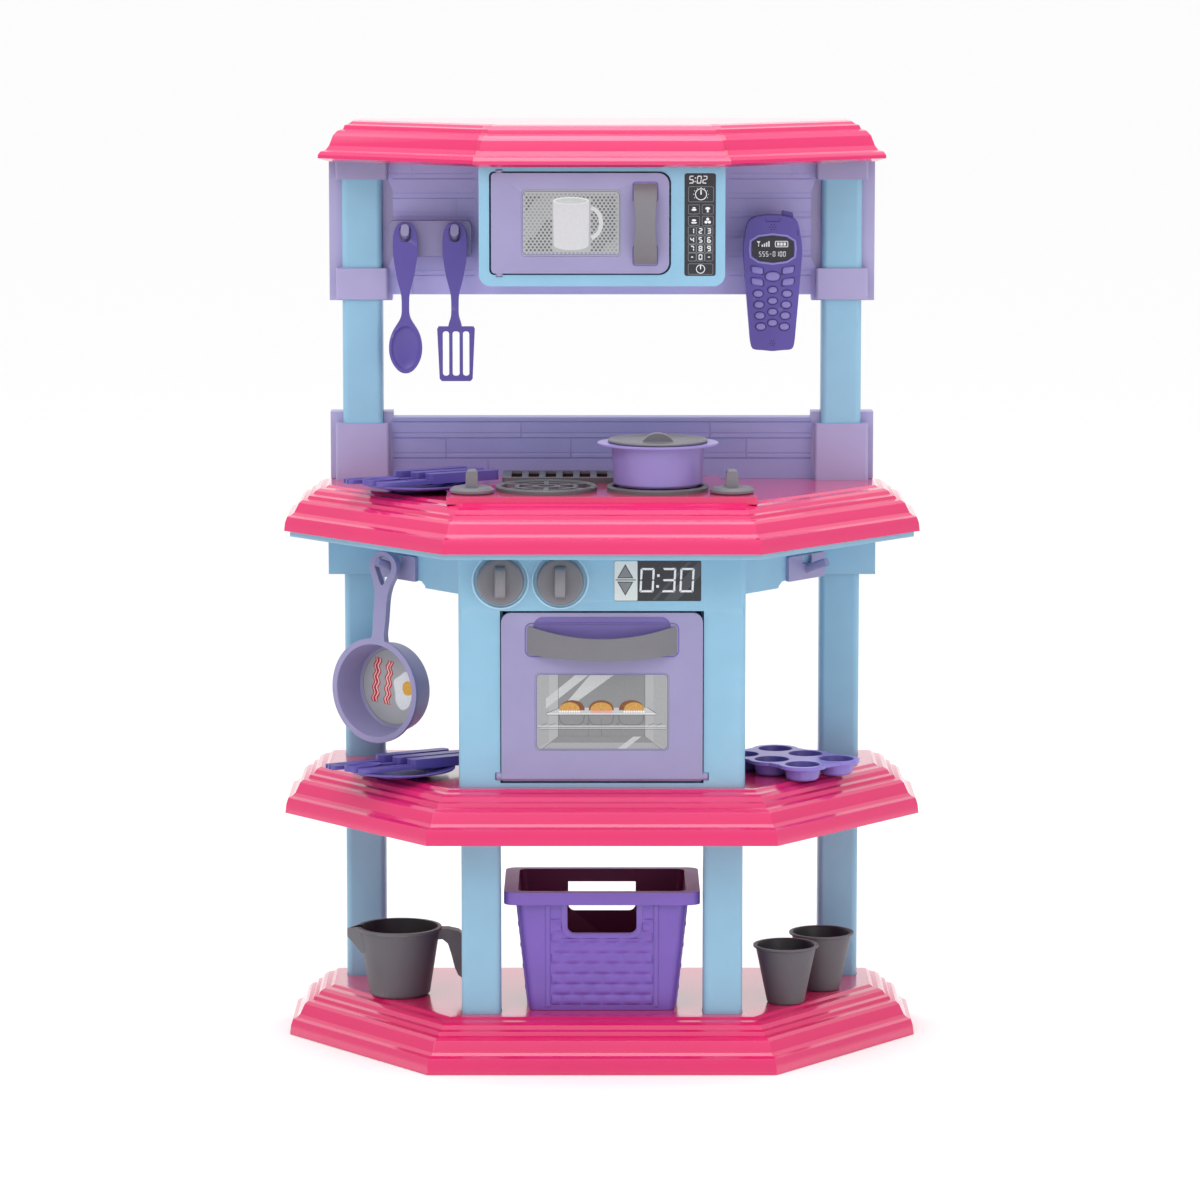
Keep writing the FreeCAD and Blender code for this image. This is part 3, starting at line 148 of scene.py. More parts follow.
# Dark plum for the inside walls and floor of the basket: painted shade.
BASKET_INSIDE_SHADE = plastic("basket_inside_painted_shade", (92, 8, 78), rough=0.55, vary=0.10, bump=0.000008, mottle=14.0)
SOCKET = plastic("lavender_light", (164, 157, 200), rough=0.40, vary=0.03, bump=0.000008)
# Paler lavender for the upper panel, which lies in the canopy's shadow: painted light.
PANEL_PAINTED_LIGHT = plastic("lavender_panel_painted_light", (184, 179, 236), rough=0.40, vary=0.03, bump=0.000008)
KNOB = plastic("knob_grey", (116, 113, 120), rough=0.32, vary=0.05, grain=2600.0, bump=0.00001, wear=0.2)
TIN = plastic("tin_violet", (132, 114, 196), rough=0.30, vary=0.05, bump=0.000008, wear=0.14)
# Darker violet for the insides of the muffin cups: painted shade.
TIN_CUP_SHADE = plastic("tin_cup_painted_shade", (84, 70, 150), rough=0.36, vary=0.05, bump=0.000008, wear=0.08)
# Near-black for the inside of the jug and cups: painted shade.
HOLLOW_SHADE = plastic("jug_cup_inside_painted_shade", (46, 45, 50), rough=0.42, vary=0.06, grain=2600.0, bump=0.00001, wear=0.0)

SLOT = {}
for s_, ns_ in {
    "pink": "base_shelf middle_shelf countertop canopy",
    "light_blue": "lower_leg_front_left lower_leg_front_right lower_leg_rear_left lower_leg_rear_right upper_leg_left upper_leg_right post_left post_right counter_frame oven_cabinet oven_box microwave_cabinet",
    "lavender": "backsplash upper_panel utensil_rack oven_door microwave_door pan_hook_left pan_hook_right pan pot",
    "violet": "serving_spoon spatula phone plate_counter spoon_counter knife_counter fork_counter plate_shelf spoon_shelf knife_shelf fork_shelf muffin_tin",
    "basket_violet": "basket",
    "grey": "burner_grate_left burner_grate_right vent_grille stove_knob_left stove_knob_right oven_knob_left oven_knob_right oven_handle microwave_handle pot_lid",
    "dark_grey": "jug cup_front cup_rear",
    "sticker_grey": "oven_window_label microwave_window_label pan_food_label",
    "sticker_black": "oven_clock_label microwave_control_label phone_display_label",
}.items():
    for n_ in ns_.split():
        SLOT[n_] = s_


# ---------------------------------------------------------------------------
# mesh helpers
# ---------------------------------------------------------------------------
def link(me, name, body, slot, *mats):
    ob = bpy.data.objects.new(name, me)
    COLL.objects.link(ob)
    for m in mats:
        me.materials.append(m)
    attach(ob, body)
    return ob


def span(me):
    xs = [v.co for v in me.vertices] if hasattr(me, "vertices") else [v.co for v in me.verts]
    return [min(c[i] for c in xs) for i in range(3)] + [max(c[i] for c in xs) for i in range(3)]


def refine(node, bevel=1.0, seg=2, angle=26.0, mats=None, pick=None, name=None, sharp=34.0):
    """The CAD node's shape with softened moulded edges, as its own piece."""
    src = NODES[node]
    result = None
    for k in (1.0, 0.6, 0.3, 0.0):
        bm = bmesh.new()
        bm.from_mesh(src.data)
        bmesh.ops.remove_doubles(bm, verts=bm.verts, dist=2e-6)
        bmesh.ops.dissolve_degenerate(bm, dist=1e-6, edges=bm.edges)
        bmesh.ops.dissolve_limit(bm, angle_limit=math.radians(0.4), use_dissolve_boundaries=False, verts=bm.verts, edges=bm.edges)
        want = span(bm)
        if k > 0 and bevel > 0:
            es = [e for e in bm.edges if len(e.link_faces) == 2 and e.calc_face_angle(0.0) > math.radians(angle)]
            if es:
                bmesh.ops.bevel(bm, geom=es, offset=bevel * k / 1000.0, offset_type="OFFSET", segments=seg, profile=0.6,
                                affect="EDGES", clamp_overlap=True, loop_slide=True)
                bmesh.ops.dissolve_degenerate(bm, dist=1e-6, edges=bm.edges)
        got = span(bm)
        if max(abs(a - b) for a, b in zip(want, got)) < 0.0006 and not any(c != c for c in got):
            result = bm
            break
        bm.free()
    bm = result
    long_ = [f for f in bm.faces if len(f.verts) > 4]
    bmesh.ops.triangulate(bm, faces=long_, quad_method="BEAUTY", ngon_method="BEAUTY")
    me = bpy.data.meshes.new(name or node + "_shaped")
    bm.to_mesh(me)
    bm.free()
    ms = mats or [MAT[SLOT[node]]]
    ob = link(me, name or node + "_shaped", BODY_OF[node], SLOT[node], *ms)
    if pick:
        for p in me.polygons:
            p.material_index = pick(p.center * 1000.0, p.normal)
    me.shade_smooth()
    me.set_sharp_from_angle(angle=math.radians(sharp))
    wn = ob.modifiers.new("even_shading", "WEIGHTED_NORMAL")
    wn.keep_sharp = True
    wn.weight = 60
    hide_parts(node)
    return ob


def rr(cx, cz, w, h, r, n=5):
    """Rounded rectangle, half sizes w and h."""
    out = []
    r = min(r, w, h)
    for sx, sz, a0 in ((1, 1, 0), (-1, 1, 90), (-1, -1, 180), (1, -1, 270)):
        for i in range(n + 1):
            a = math.radians(a0 + 90.0 * i / n)
            out.append((cx + sx * (w - r) + r * math.cos(a), cz + sz * (h - r) + r * math.sin(a)))
    return out


def oval(cx, cz, w, h, n=28, wob=0.0):
    out = []
    for i in range(n):
        a = 2 * math.pi * i / n
        k = 1.0 + wob * math.sin(3 * a + 0.7) + wob * 0.6 * math.sin(5 * a + 2.0)
        out.append((cx + w * k * math.cos(a), cz + h * k * math.sin(a)))
    return out


def stroke(pts, w, closed=False):
    """Band of width w along a polyline."""
    n = len(pts)
    L, R = [], []
    for i in range(n):
        if closed:
            a, b = pts[i - 1], pts[(i + 1) % n]
        else:
            a, b = pts[max(i - 1, 0)], pts[min(i + 1, n - 1)]
        dx, dz = b[0] - a[0], b[1] - a[1]
        le = math.hypot(dx, dz) or 1.0
        nx, nz = -dz / le * w / 2, dx / le * w / 2
        p = pts[i]
        L.append((p[0] + nx, p[1] + nz))
        R.append((p[0] - nx, p[1] - nz))
    out = []
    for i in range(n if closed else n - 1):
        j = (i + 1) % n
        out.append([L[i], L[j], R[j], R[i]])
    return out


SEG7 = {"0": "abcdef", "1": "bc", "2": "abged", "3": "abgcd", "4": "fgbc", "5": "afgcd", "6": "afgedc", "7": "abc", "8": "abcdefg", "9": "abcdfg", "-": "g"}


def digit(ch, x, z, w, h, t, slant=0.0):
    """Segment digit with its lower left corner at x, z; returns polygons."""
    out = []
    g = t * 0.12

    def S(px, pz):
        return (x + px + slant * pz, z + pz)
    segs = {
        "a": [S(g + t * .2, h), S(w - g - t * .2, h), S(w - t - g, h - t), S(t + g, h - t)],
        "d": [S(g + t * .2, 0), S(t + g, t), S(w - t - g, t), S(w - g - t * .2, 0)],
        "g": [S(t + g, h / 2 + t / 2), S(w - t - g, h / 2 + t / 2), S(w - t * .5 - g, h / 2), S(w - t - g, h / 2 - t / 2), S(t + g, h / 2 - t / 2), S(t * .5 + g, h / 2)],
        "f": [S(0, h - g - t * .2), S(t, h - t - g), S(t, h / 2 + t / 2 + g), S(t * .5, h / 2 + g), S(0, h / 2 + t * .3 + g)],
        "b": [S(w, h - g - t * .2), S(w, h / 2 + t * .3 + g), S(w - t * .5, h / 2 + g), S(w - t, h / 2 + t / 2 + g), S(w - t, h - t - g)],
        "e": [S(0, g + t * .2), S(0, h / 2 - t * .3 - g), S(t * .5, h / 2 - g), S(t, h / 2 - t / 2 - g), S(t, t + g)],
        "c": [S(w, g + t * .2), S(w - t, t + g), S(w - t, h / 2 - t / 2 - g), S(w - t * .5, h / 2 - g), S(w, h / 2 - t * .3 - g)],
    }
    for s in SEG7[ch]:
        out.append(segs[s])
    return out


def number(text, x, z, w, h, t, gap, slant=0.0):
    out = []
    for ch in text:
        if ch == ":":
            for k in (0.28, 0.68):
                out.append([(x + slant * h * k + q[0], z + h * k + q[1]) for q in ((0, 0), (t, 0), (t, t), (0, t))])
            x += t + gap
        else:
            out += digit(ch, x, z, w, h, t, slant)
            x += w + gap
    return out


def plate(name, polys, to3, lift, thick, body, slot, *mats):
    """Thin flat pieces. polys are outlines in mm, to3 maps (u, v, out) in mm to metres; 'out' is towards the viewer."""
    bm = bmesh.new()
    for poly in polys:
        n = len(poly)
        area = sum(poly[i][0] * poly[(i + 1) % n][1] - poly[(i + 1) % n][0] * poly[i][1] for i in range(n))
        if area < 0:
            poly = poly[::-1]
        f = [bm.verts.new(to3(u, v, lift + thick)) for u, v in poly]
        b = [bm.verts.new(to3(u, v, lift)) for u, v in poly]
        bm.faces.new(f)
        bm.faces.new(b[::-1])
        for i in range(n):
            j = (i + 1) % n
            bm.faces.new((f[i], b[i], b[j], f[j]))
    bmesh.ops.triangulate(bm, faces=[f for f in bm.faces if len(f.verts) > 4], ngon_method="EAR_CLIP")
    bmesh.ops.recalc_face_normals(bm, faces=bm.faces)
    me = bpy.data.meshes.new(name)
    bm.to_mesh(me)
    bm.free()
    return link(me, name, body, slot, *mats)


def front(d):
    """Maps x, z, out to the frame for a face at depth d."""
    return lambda u, v, o: Vector((u / 1000.0, Y(d) - o / 1000.0, v / 1000.0))


def dome(bm, outline, to3, lift, h, inset):
    """Closed key cap on an outline: straight side, rounded shoulder and a flat top."""
    cx = sum(p[0] for p in outline) / len(outline)
    cz = sum(p[1] for p in outline) / len(outline)
    rw = max(abs(p[0] - cx) for p in outline)
    rh = max(abs(p[1] - cz) for p in outline)
    rings = []
    for k, o in ((0.0, 0.0), (0.0, 0.55), (0.35, 0.86), (1.0, 1.0)):
        i = inset * k
        rings.append([bm.verts.new(to3(cx + (u - cx) * (rw - i) / rw, cz + (v - cz) * (rh - i) / rh, lift + h * o)) for u, v in outline])
    n = len(outline)
    for a, b in zip(rings, rings[1:]):
        for i in range(n):
            j = (i + 1) % n
            bm.faces.new((a[i], a[j], b[j], b[i]))
    bm.faces.new(rings[-1])
    bm.faces.new(rings[0][::-1])


def done(bm, name, body, slot, *mats, smooth=35):
    bmesh.ops.recalc_face_normals(bm, faces=bm.faces)
    me = bpy.data.meshes.new(name)
    bm.to_mesh(me)
    bm.free()
    ob = link(me, name, body, slot, *mats)
    me.shade_smooth()
    me.set_sharp_from_angle(angle=math.radians(smooth))
    return ob


# ---------------------------------------------------------------------------
# the moulded parts
# ---------------------------------------------------------------------------
for n in ("base_shelf", "middle_shelf", "countertop", "canopy"):
    refine(n, bevel=0.5, seg=2, angle=14.0, sharp=16.0)
for n in ("lower_leg_front_left", "lower_leg_front_right", "lower_leg_rear_left", "lower_leg_rear_right", "upper_leg_left",
          "upper_leg_right", "post_left", "post_right"):
    refine(n, bevel=0.5, seg=2)
refine("counter_frame", bevel=0.8)
refine("oven_cabinet", bevel=1.3, seg=3)
refine("oven_box", bevel=0.8)
refine("microwave_cabinet", bevel=1.2, seg=3)
refine("utensil_rack", bevel=1.0)
refine("pan_hook_left", bevel=0.7)
refine("pan_hook_right", bevel=0.7)


def panel_pick(c, n):
    return 1 if abs(c.x) > 219.5 else 0


SPLASH = plastic("lavender_splash", (143, 144, 200), rough=0.38, vary=0.03, bump=0.000008)
refine("backsplash", bevel=0.45, seg=2, mats=[SPLASH, SOCKET], pick=panel_pick)
refine("upper_panel", bevel=0.45, seg=2, mats=[PANEL_PAINTED_LIGHT, SOCKET], pick=panel_pick)


# Picks the pocket faces above the oven handle for the painted shade material.
def door_pick(c, n):
    inside = abs(c.x) < 69.2 and 421.8 < c.z < 458.2 and (c.y + 142.5) > 54.3 and n.y < 0.5
    return 1 if inside else 0


refine("oven_door", bevel=0.8, seg=3, mats=[MAT["lavender"], LAV_POCKET_SHADE], pick=door_pick)
refine("microwave_door", bevel=0.8, seg=3)
HANDLE = plastic("handle_grey", (117, 115, 122), rough=0.42, vary=0.04, grain=2600.0, bump=0.00002)
refine("oven_handle", bevel=1.8, seg=4, angle=30, mats=[HANDLE])
refine("microwave_handle", bevel=1.8, seg=4, angle=30)


def lathe_y(bm, cx, cz, prof, n=56, z0=None):
    """Turned shape about an axis along Y. prof is (radius, depth d) from the front to the back, in mm."""
    rings = []
    for rad, d in prof:
        rings.append([bm.verts.new((cx / 1000.0 + rad / 1000.0 * math.cos(2 * math.pi * i / n), Y(d), cz / 1000.0 + rad / 1000.0 * math.sin(2 * math.pi * i / n)))
                      for i in range(n)])
    for a, b in zip(rings, rings[1:]):
        for i in range(n):
            j = (i + 1) % n
            bm.faces.new((a[i], a[j], b[j], b[i]))
    return rings


def oven_knob(node):
    lo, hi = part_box(node)
    cx, cz = (lo.x + hi.x) * 500.0, (lo.z + hi.z) * 500.0
    rad = (hi.x - lo.x) * 500.0
    df, db = lo.y * 1000.0 + 142.5, hi.y * 1000.0 + 142.5
    face = df + 9.0
    bm = bmesh.new()
    prof = [(0.6, face + 0.5), (rad * 0.55, face + 0.25), (rad - 3.2, face), (rad - 1.6, face + 0.3), (rad - 0.5, face + 1.3), (rad, face + 2.8),
            (rad, face + 10.0)]
    back = prof[-1][1]
    prof += [(rad - 0.6, back), (3.8, back), (3.8, db), (0.6, db)]
    rings = lathe_y(bm, cx, cz, prof)
    bm.faces.new(rings[0])
    bm.faces.new(rings[-1][::-1])
    # grip: a rounded bar that stops short of the rim
    sec = [(-6.6, 1.2), (-6.3, 0.0), (-5.7, -6.4), (-5.0, -8.3), (-3.8, -8.9), (3.8, -8.9), (5.0, -8.3), (5.7, -6.4), (6.3, 0.0), (6.6, 1.2)]
    ends = [(-16.6, 0.0, 0.62), (-16.0, 0.42, 0.84), (-14.6, 0.80, 0.96), (-12.4, 1.0, 1.0), (12.4, 1.0, 1.0), (14.6, 0.80, 0.96), (16.0, 0.42, 0.84), (16.6, 0.0, 0.62)]
    rows = [[bm.verts.new(((cx + x * kx) / 1000.0, Y(face + 0.2 + (o if o > 0 else o * k)), (cz + z) / 1000.0)) for x, o in sec] for z, k, kx in ends]
    for a, b in zip(rows, rows[1:]):
        for i in range(len(sec)):
            j = (i + 1) % len(sec)
            bm.faces.new((a[i], a[j], b[j], b[i]))
    bm.faces.new(rows[0][::-1])
    bm.faces.new(rows[-1])
    bmesh.ops.recalc_face_normals(bm, faces=bm.faces)
    me = bpy.data.meshes.new(node + "_shaped")
    bm.to_mesh(me)
    bm.free()
    ob = link(me, node + "_shaped", BODY_OF[node], SLOT[node], KNOB)
    me.shade_smooth()
    me.set_sharp_from_angle(angle=math.radians(40))
    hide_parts(node)


# Raised ring round each oven knob recess in paler blue: painted highlight.
KNOB_LIP_HIGHLIGHT = plastic("knob_lip_painted_highlight", (176, 212, 234), rough=0.30, vary=0.03, bump=0.000008)
for n in ("oven_knob_left", "oven_knob_right"):
    oven_knob(n)
    lo_, hi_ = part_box(n)
    bm = bmesh.new()
    rings = lathe_y(bm, (lo_.x + hi_.x) * 500.0, (lo_.z + hi_.z) * 500.0,
                    [(26.6, 54.5), (26.8, 53.4), (27.5, 53.0), (28.4, 53.2), (29.0, 53.9), (29.1, 54.5)])
    for i in range(56):
        bm.faces.new((rings[-1][i], rings[-1][(i + 1) % 56], rings[0][(i + 1) % 56], rings[0][i]))
    done(bm, n + "_recess_lip", "kitchen", "light_blue", KNOB_LIP_HIGHLIGHT)
for n in ("stove_knob_left", "stove_knob_right", "pot_lid"):
    refine(n, bevel=1.2, seg=3)
GRATE = plastic("grate_dark_grey", (92, 92, 97), rough=0.45, vary=0.05, grain=2600.0, bump=0.00002)
for n in ("burner_grate_left", "burner_grate_right", "vent_grille"):
    refine(n, bevel=0.7, seg=2, mats=[GRATE])
refine("pan", bevel=1.2, seg=3)
# Darker copy of the lavender for the pot: painted shade.
POT_SHADED = plastic("pot_lavender_painted_shade", (140, 125, 190), rough=0.34, vary=0.03, bump=0.000008)
refine("pot", bevel=0.9, seg=3, mats=[POT_SHADED])
refine("serving_spoon", bevel=2.0, seg=4, angle=40)
refine("spatula", bevel=1.4, seg=3, angle=40)
refine("phone", bevel=1.4, seg=3, angle=40)
for t in ("counter", "shelf"):
    refine("plate_" + t, bevel=0.5, seg=2)
    for u in ("spoon", "knife", "fork"):
        refine(u + "_" + t, bevel=1.1, seg=3, angle=30)
TA = math.radians(-46.0)
TIN_C = [(192.0 + i * 43.5 * math.cos(TA) + j * 50.0 * math.sin(TA), 152.0 + i * 43.5 * math.sin(TA) - j * 50.0 * math.cos(TA))
         for i in (-1, 0, 1) for j in (-0.5, 0.5)]


# Picks the insides of the muffin cups for the painted shade material.
def tin_pick(c, n):
    x, d = c.x, c.y + 142.5
    dx, dd = min(((x - a, d - b) for a, b in TIN_C), key=lambda q: q[0] * q[0] + q[1] * q[1])
    rad = math.hypot(dx, dd)
    if rad < 13.6 and n.z > 0.5:
        return 1
    return 1 if rad < 18.6 and dx * n.x + dd * n.y < -0.3 * rad and c.z < 305.0 else 0


# Picks the inside walls and floor of a jug or cup for the painted shade material.
def inner_pick(cx, cd):
    def f(c, n):
        dx, dd = c.x - cx, c.y + 142.5 - cd
        rad = math.hypot(dx, dd)
        if n.z > 0.5 and rad < 30.0 and c.z < 60.0:
            return 1
        return 1 if dx * n.x + dd * n.y < -0.3 * rad and rad < 52.0 and n.z > -0.5 else 0
    return f


refine("muffin_tin", bevel=0.8, seg=3, angle=30, mats=[TIN, TIN_CUP_SHADE], pick=tin_pick)
refine("jug", bevel=0.9, seg=3, angle=30, mats=[MAT["dark_grey"], HOLLOW_SHADE], pick=inner_pick(-209.0, 156.0))
refine("cup_front", bevel=0.6, seg=2, angle=30, mats=[MAT["dark_grey"], HOLLOW_SHADE], pick=inner_pick(188.6, 117.0))
refine("cup_rear", bevel=0.6, seg=2, angle=30, mats=[MAT["dark_grey"], HOLLOW_SHADE], pick=inner_pick(227.8, 182.0))
for n in ("oven_clock_label", "microwave_control_label", "phone_display_label", "oven_window_label", "microwave_window_label", "pan_food_label"):
    refine(n, bevel=0.1, seg=1)


# Picks the basket's inside walls and floor for the painted shade material.
def basket_pick(c, n):
    cx, cd = c.x, c.y + 142.5 - 131.0
    v = Vector((cx, cd, 0))
    if c.z < 52.0:
        return 0
    side = abs(n.z) < 0.6
    if side and n.x * cx + n.y * cd < 0 and abs(cx) < 86.5 and abs(cd) < 61.8:
        return 1
    if n.z > 0.6 and c.z < 60 and abs(cx) < 73 and abs(cd) < 55:
        return 1
    return 0


refine("basket", bevel=1.0, seg=3, angle=30, mats=[MAT["basket_violet"], BASKET_INSIDE_SHADE], pick=basket_pick)

#PRINTS-BEGIN
# ---------------------------------------------------------------------------
# printed labels: thin raised ink on the sticker pieces
# ---------------------------------------------------------------------------
INK_WHITE = ink("ink_white", (232, 234, 236))
INK_PALE = ink("ink_pale_grey", (196, 199, 202))
INK_MID = ink("ink_mid_grey", (128, 130, 134))
INK_DARK = ink("ink_dark_grey", (70, 71, 76))
INK_LINE = ink("ink_line_grey", (98, 100, 104))
INK_RED = ink("ink_bacon_red", (196, 36, 52), vary=0.14)
INK_PINK = ink("ink_bacon_fat", (246, 196, 190), vary=0.10)
INK_GOLD = ink("ink_cake_gold", (198, 148, 72), vary=0.18)
INK_BROWN = ink("ink_cake_brown", (122, 74, 36), vary=0.20)
INK_ROSE = ink("ink_cup_rose", (232, 150, 150), vary=0.08)
INK_YOLK = ink("ink_yolk", (232, 176, 58), vary=0.12)
INK_SHEEN = ink("ink_glare", (188, 191, 192), vary=0.05)
INK_CLOCK = ink("ink_clock_field", (214, 221, 220), vary=0.03)
INK_WALL = ink("ink_oven_wall", (132, 134, 136), vary=0.05)
INK_CUP = ink("ink_mug", (198, 198, 202), vary=0.03)
# Dark lavender for the window border lines, and for the grooves round the handles, where it is painted shade.
INK_EDGE_AND_GROOVE_SHADE = ink("ink_lavender_edge_and_groove_shade", (112, 98, 168), vary=0.04)
INK_STREAK = ink("ink_streak", (158, 161, 162), vary=0.05)
INK_HOLE = ink("ink_screen_dot", (94, 95, 98), vary=0.06)
INK_HOLE2 = ink("ink_screen_dot_pale", (142, 143, 145), vary=0.06)

# oven clock ---------------------------------------------------------------
OC = front(54.15)
plate("clock_button_field", [rr(24.0, 494.5, 11.6, 20.0, 1.2)], OC, 0.0, 0.05, "kitchen", "sticker_grey", INK_CLOCK)
tri_up = [(15.2, 497.2), (31.6, 497.2), (23.4, 511.6)]
tri_dn = [(15.2, 493.8), (23.4, 479.4), (31.6, 493.8)]


def inset_tri(t, k):
    gx = sum(p[0] for p in t) / 3.0
    gz = sum(p[1] for p in t) / 3.0
    return [(gx + (x - gx) * k, gz + (z - gz) * k) for x, z in t]


plate("clock_arrow_outline", [tri_up, tri_dn, [(13.6, 495.0), (34.0, 495.0), (34.0, 496.0), (13.6, 496.0)]], OC, 0.05, 0.04, "kitchen", "sticker_grey", INK_DARK)
plate("clock_arrow_fill", [inset_tri(tri_up, 0.80), inset_tri(tri_dn, 0.80)], OC, 0.09, 0.03, "kitchen", "sticker_grey", INK_MID)
plate("clock_glare", [[(62, 475), (76, 475), (99.0, 500), (99.0, 514), (97, 514)], [(50, 475), (54, 475), (90, 514), (86, 514)]], OC, 0.0, 0.03,
      "kitchen", "sticker_black", INK_DARK)
plate("clock_digits", number("0", 37.6, 483.0, 14.2, 24.6, 2.1, 0, 0.05) + number("0", 77.6, 483.0, 14.2, 24.6, 2.1, 0, 0.05)
      + number("3", 59.2, 483.0, 14.2, 24.6, 2.1, 0, 0.05)
      + [[(x + 0.07 * (z - 483), z), (x + 2.6 + 0.07 * (z - 483), z), (x + 2.6 + 0.07 * (z - 483), z + 2.6), (x + 0.07 * (z - 483), z + 2.6)] for x, z in ((54.2, 487.6), (54.2, 498.6))],
      OC, 0.05, 0.06, "kitchen", "sticker_grey", INK_WHITE)

# microwave control panel -----------------------------------------------------
MC = front(112.15)
white, dark, mid = [], [], []
white += number("5", 87.2, 889.4, 4.6, 7.8, 0.95, 0, 0.10)
white += [[(92.9, 890.8), (94.0, 890.8), (94.0, 891.9), (92.9, 891.9)], [(93.2, 894.4), (94.3, 894.4), (94.3, 895.5), (93.2, 895.5)]]
white += number("02", 95.0, 889.4, 4.6, 7.8, 0.95, 1.1, 0.10)


def frame_lines(cx, cz, w, h, r, t=0.55):
    return stroke(rr(cx, cz, w, h, r), t, closed=True)


pale0 = frame_lines(99.5, 878.6, 12.6, 7.6, 1.6, 0.45)
white += stroke(oval(99.5, 878.6, 5.6, 5.6, 22), 0.8, closed=True)
white += [[(98.9, 878.2), (100.1, 878.2), (100.1, 883.2), (98.9, 883.2)]]
for k in range(9):
    a = math.radians(-120 + 240 * k / 8.0)
    cx_, cz_ = 99.5 + 7.4 * math.sin(a), 878.6 + 6.9 * math.cos(a)
    if abs(cz_ - 878.6) < 7.0:
        white.append(rr(cx_, cz_, 0.35, 0.35, 0.15, 2))
for cx_ in (92.5, 106.3):
    for cz_ in (863.4, 852.0):
        pale0 += frame_lines(cx_, cz_, 5.6, 4.6, 1.2, 0.45)
white += [oval(92.5, 863.0, 2.6, 1.1, 12), [(90.6, 864.4), (94.4, 864.4), (93.6, 865.6), (91.4, 865.6)],
          oval(106.3, 864.4, 2.5, 1.5, 12), [(105.3, 860.6), (107.3, 860.6), (107.0, 863.2), (105.6, 863.2)],
          [(89.4, 850.6), (95.6, 850.6), (94.6, 849.2), (90.4, 849.2)], oval(92.5, 852.4, 2.2, 1.2, 12),
          oval(104.6, 850.6, 1.6, 1.5, 12), oval(108.0, 850.6, 1.6, 1.5, 12), oval(106.3, 853.6, 1.6, 1.5, 12)]
pale = []
rows_z = (841.8, 832.8, 824.1, 815.5)
cols_x = (90.7, 99.1, 107.6)
n_ = 1
for r_, rz_ in enumerate(rows_z):
    for c_, cx_ in enumerate(cols_x):
        if r_ == 3 and c_ == 1:
            ch = "0"
        elif r_ == 3:
            ch = "-"
        else:
            ch = str(n_)
            n_ += 1
        pale += frame_lines(cx_, rz_, 4.0, 4.0, 1.3, 0.5)
        dark += number(ch, cx_ - 1.95, rz_ - 2.8, 3.9, 5.6, 1.05, 0)
pale0 += frame_lines(99.2, 803.4, 12.4, 5.3, 1.4, 0.45)
plate("control_boxes", pale0, MC, 0.0, 0.04, "kitchen", "sticker_grey", INK_MID)
white += stroke(oval(99.2, 803.4, 4.2, 4.2, 20), 0.7, closed=True)
white += [[(98.7, 803.2), (99.7, 803.2), (99.7, 807.0), (98.7, 807.0)]]
plate("control_white_print", white, MC, 0.0, 0.05, "kitchen", "sticker_grey", INK_WHITE)
plate("control_digits", dark, MC, 0.05, 0.04, "kitchen", "sticker_grey", INK_WHITE)
plate("control_key_frames", pale, MC, 0.0, 0.04, "kitchen", "sticker_grey", INK_MID)
plate("control_glare", [[(83.4, 846), (114.0, 876), (114.0, 883), (83.4, 853)]], MC, -0.02, 0.015, "kitchen", "sticker_black", INK_DARK)

# microwave window: perforated screen, glare and a mug ---------------------------
MW = front(110.5)
WX0, WX1, WZ0, WZ1 = -80.0, 17.7, 817.5, 881.9


def mug_half(z):
    return 18.6 - 0.9 * (z - 822.0) / 50.0


dots, pale_dots = [], []
row = 0
z_ = WZ0 + 2.0
while z_ < WZ1 - 1.2:
    x_ = WX0 + 2.2 + (2.05 if row % 2 else 0)
    while x_ < WX1 - 1.6:
        if not (abs(x_ + 31.0) < 19.8 and 820.5 < z_ < 874.5):
            near = min(x_ - WX0, WX1 - x_, z_ - WZ0, WZ1 - z_) < 3.4
            band_ = (z_ - 822.0) - (x_ + 80.0) * 1.05
            glare = 4.0 < band_ < 36.0 or -98.0 < band_ < -84.0
            (pale_dots if near or glare else dots).append(
                [(x_ + 1.32 * math.cos(math.radians(60 * k + 30)), z_ + 1.32 * math.sin(math.radians(60 * k + 30))) for k in range(6)])
        x_ += 4.1
    row += 1
    z_ += 2.95
plate("window_screen_dots", dots, MW, 0.0, 0.05, "microwave_door", "sticker_grey", INK_HOLE)
plate("window_screen_pale_dots", pale_dots, MW, 0.0, 0.05, "microwave_door", "sticker_grey", INK_HOLE2)
body_ = [(-31 - 18.2, 872.5)] + [(-31 + 18.2 * math.cos(math.radians(a)), 872.5 + 3.6 * math.sin(math.radians(a))) for a in range(170, 0, -10)] + \
        [(-31 + 18.2, 872.5), (-31 + 17.6, 828)] + [(-31 + 17.6 * math.cos(math.radians(a)), 828 - 5.5 * math.sin(math.radians(a))) for a in range(10, 180, 10)] + [(-31 - 17.6, 828)]
plate("mug_body", [body_], MW, 0.05, 0.05, "microwave_door", "sticker_grey", INK_CUP)
hand_ = [(-31 + 17.5 + 12.6 * math.cos(math.radians(a)), 850 + 15.5 * math.sin(math.radians(a))) for a in range(-78, 79, 12)]
plate("mug_handle", stroke(hand_, 4.2), MW, 0.06, 0.05, "microwave_door", "sticker_grey", INK_CUP)
plate("mug_rim", [oval(-31, 872.2, 17.6, 3.7, 30)], MW, 0.12, 0.03, "microwave_door", "sticker_grey", INK_CLOCK)
plate("mug_mouth", [oval(-31, 872.0, 16.3, 2.9, 30)], MW, 0.15, 0.02, "microwave_door", "sticker_grey", INK_SHEEN)
plate("mw_window_border", stroke(rr(-31.15, 849.7, 48.6, 31.8, 3.8), 0.7, closed=True), MW, 0.04, 0.05, "microwave_door", "lavender", INK_EDGE_AND_GROOVE_SHADE)

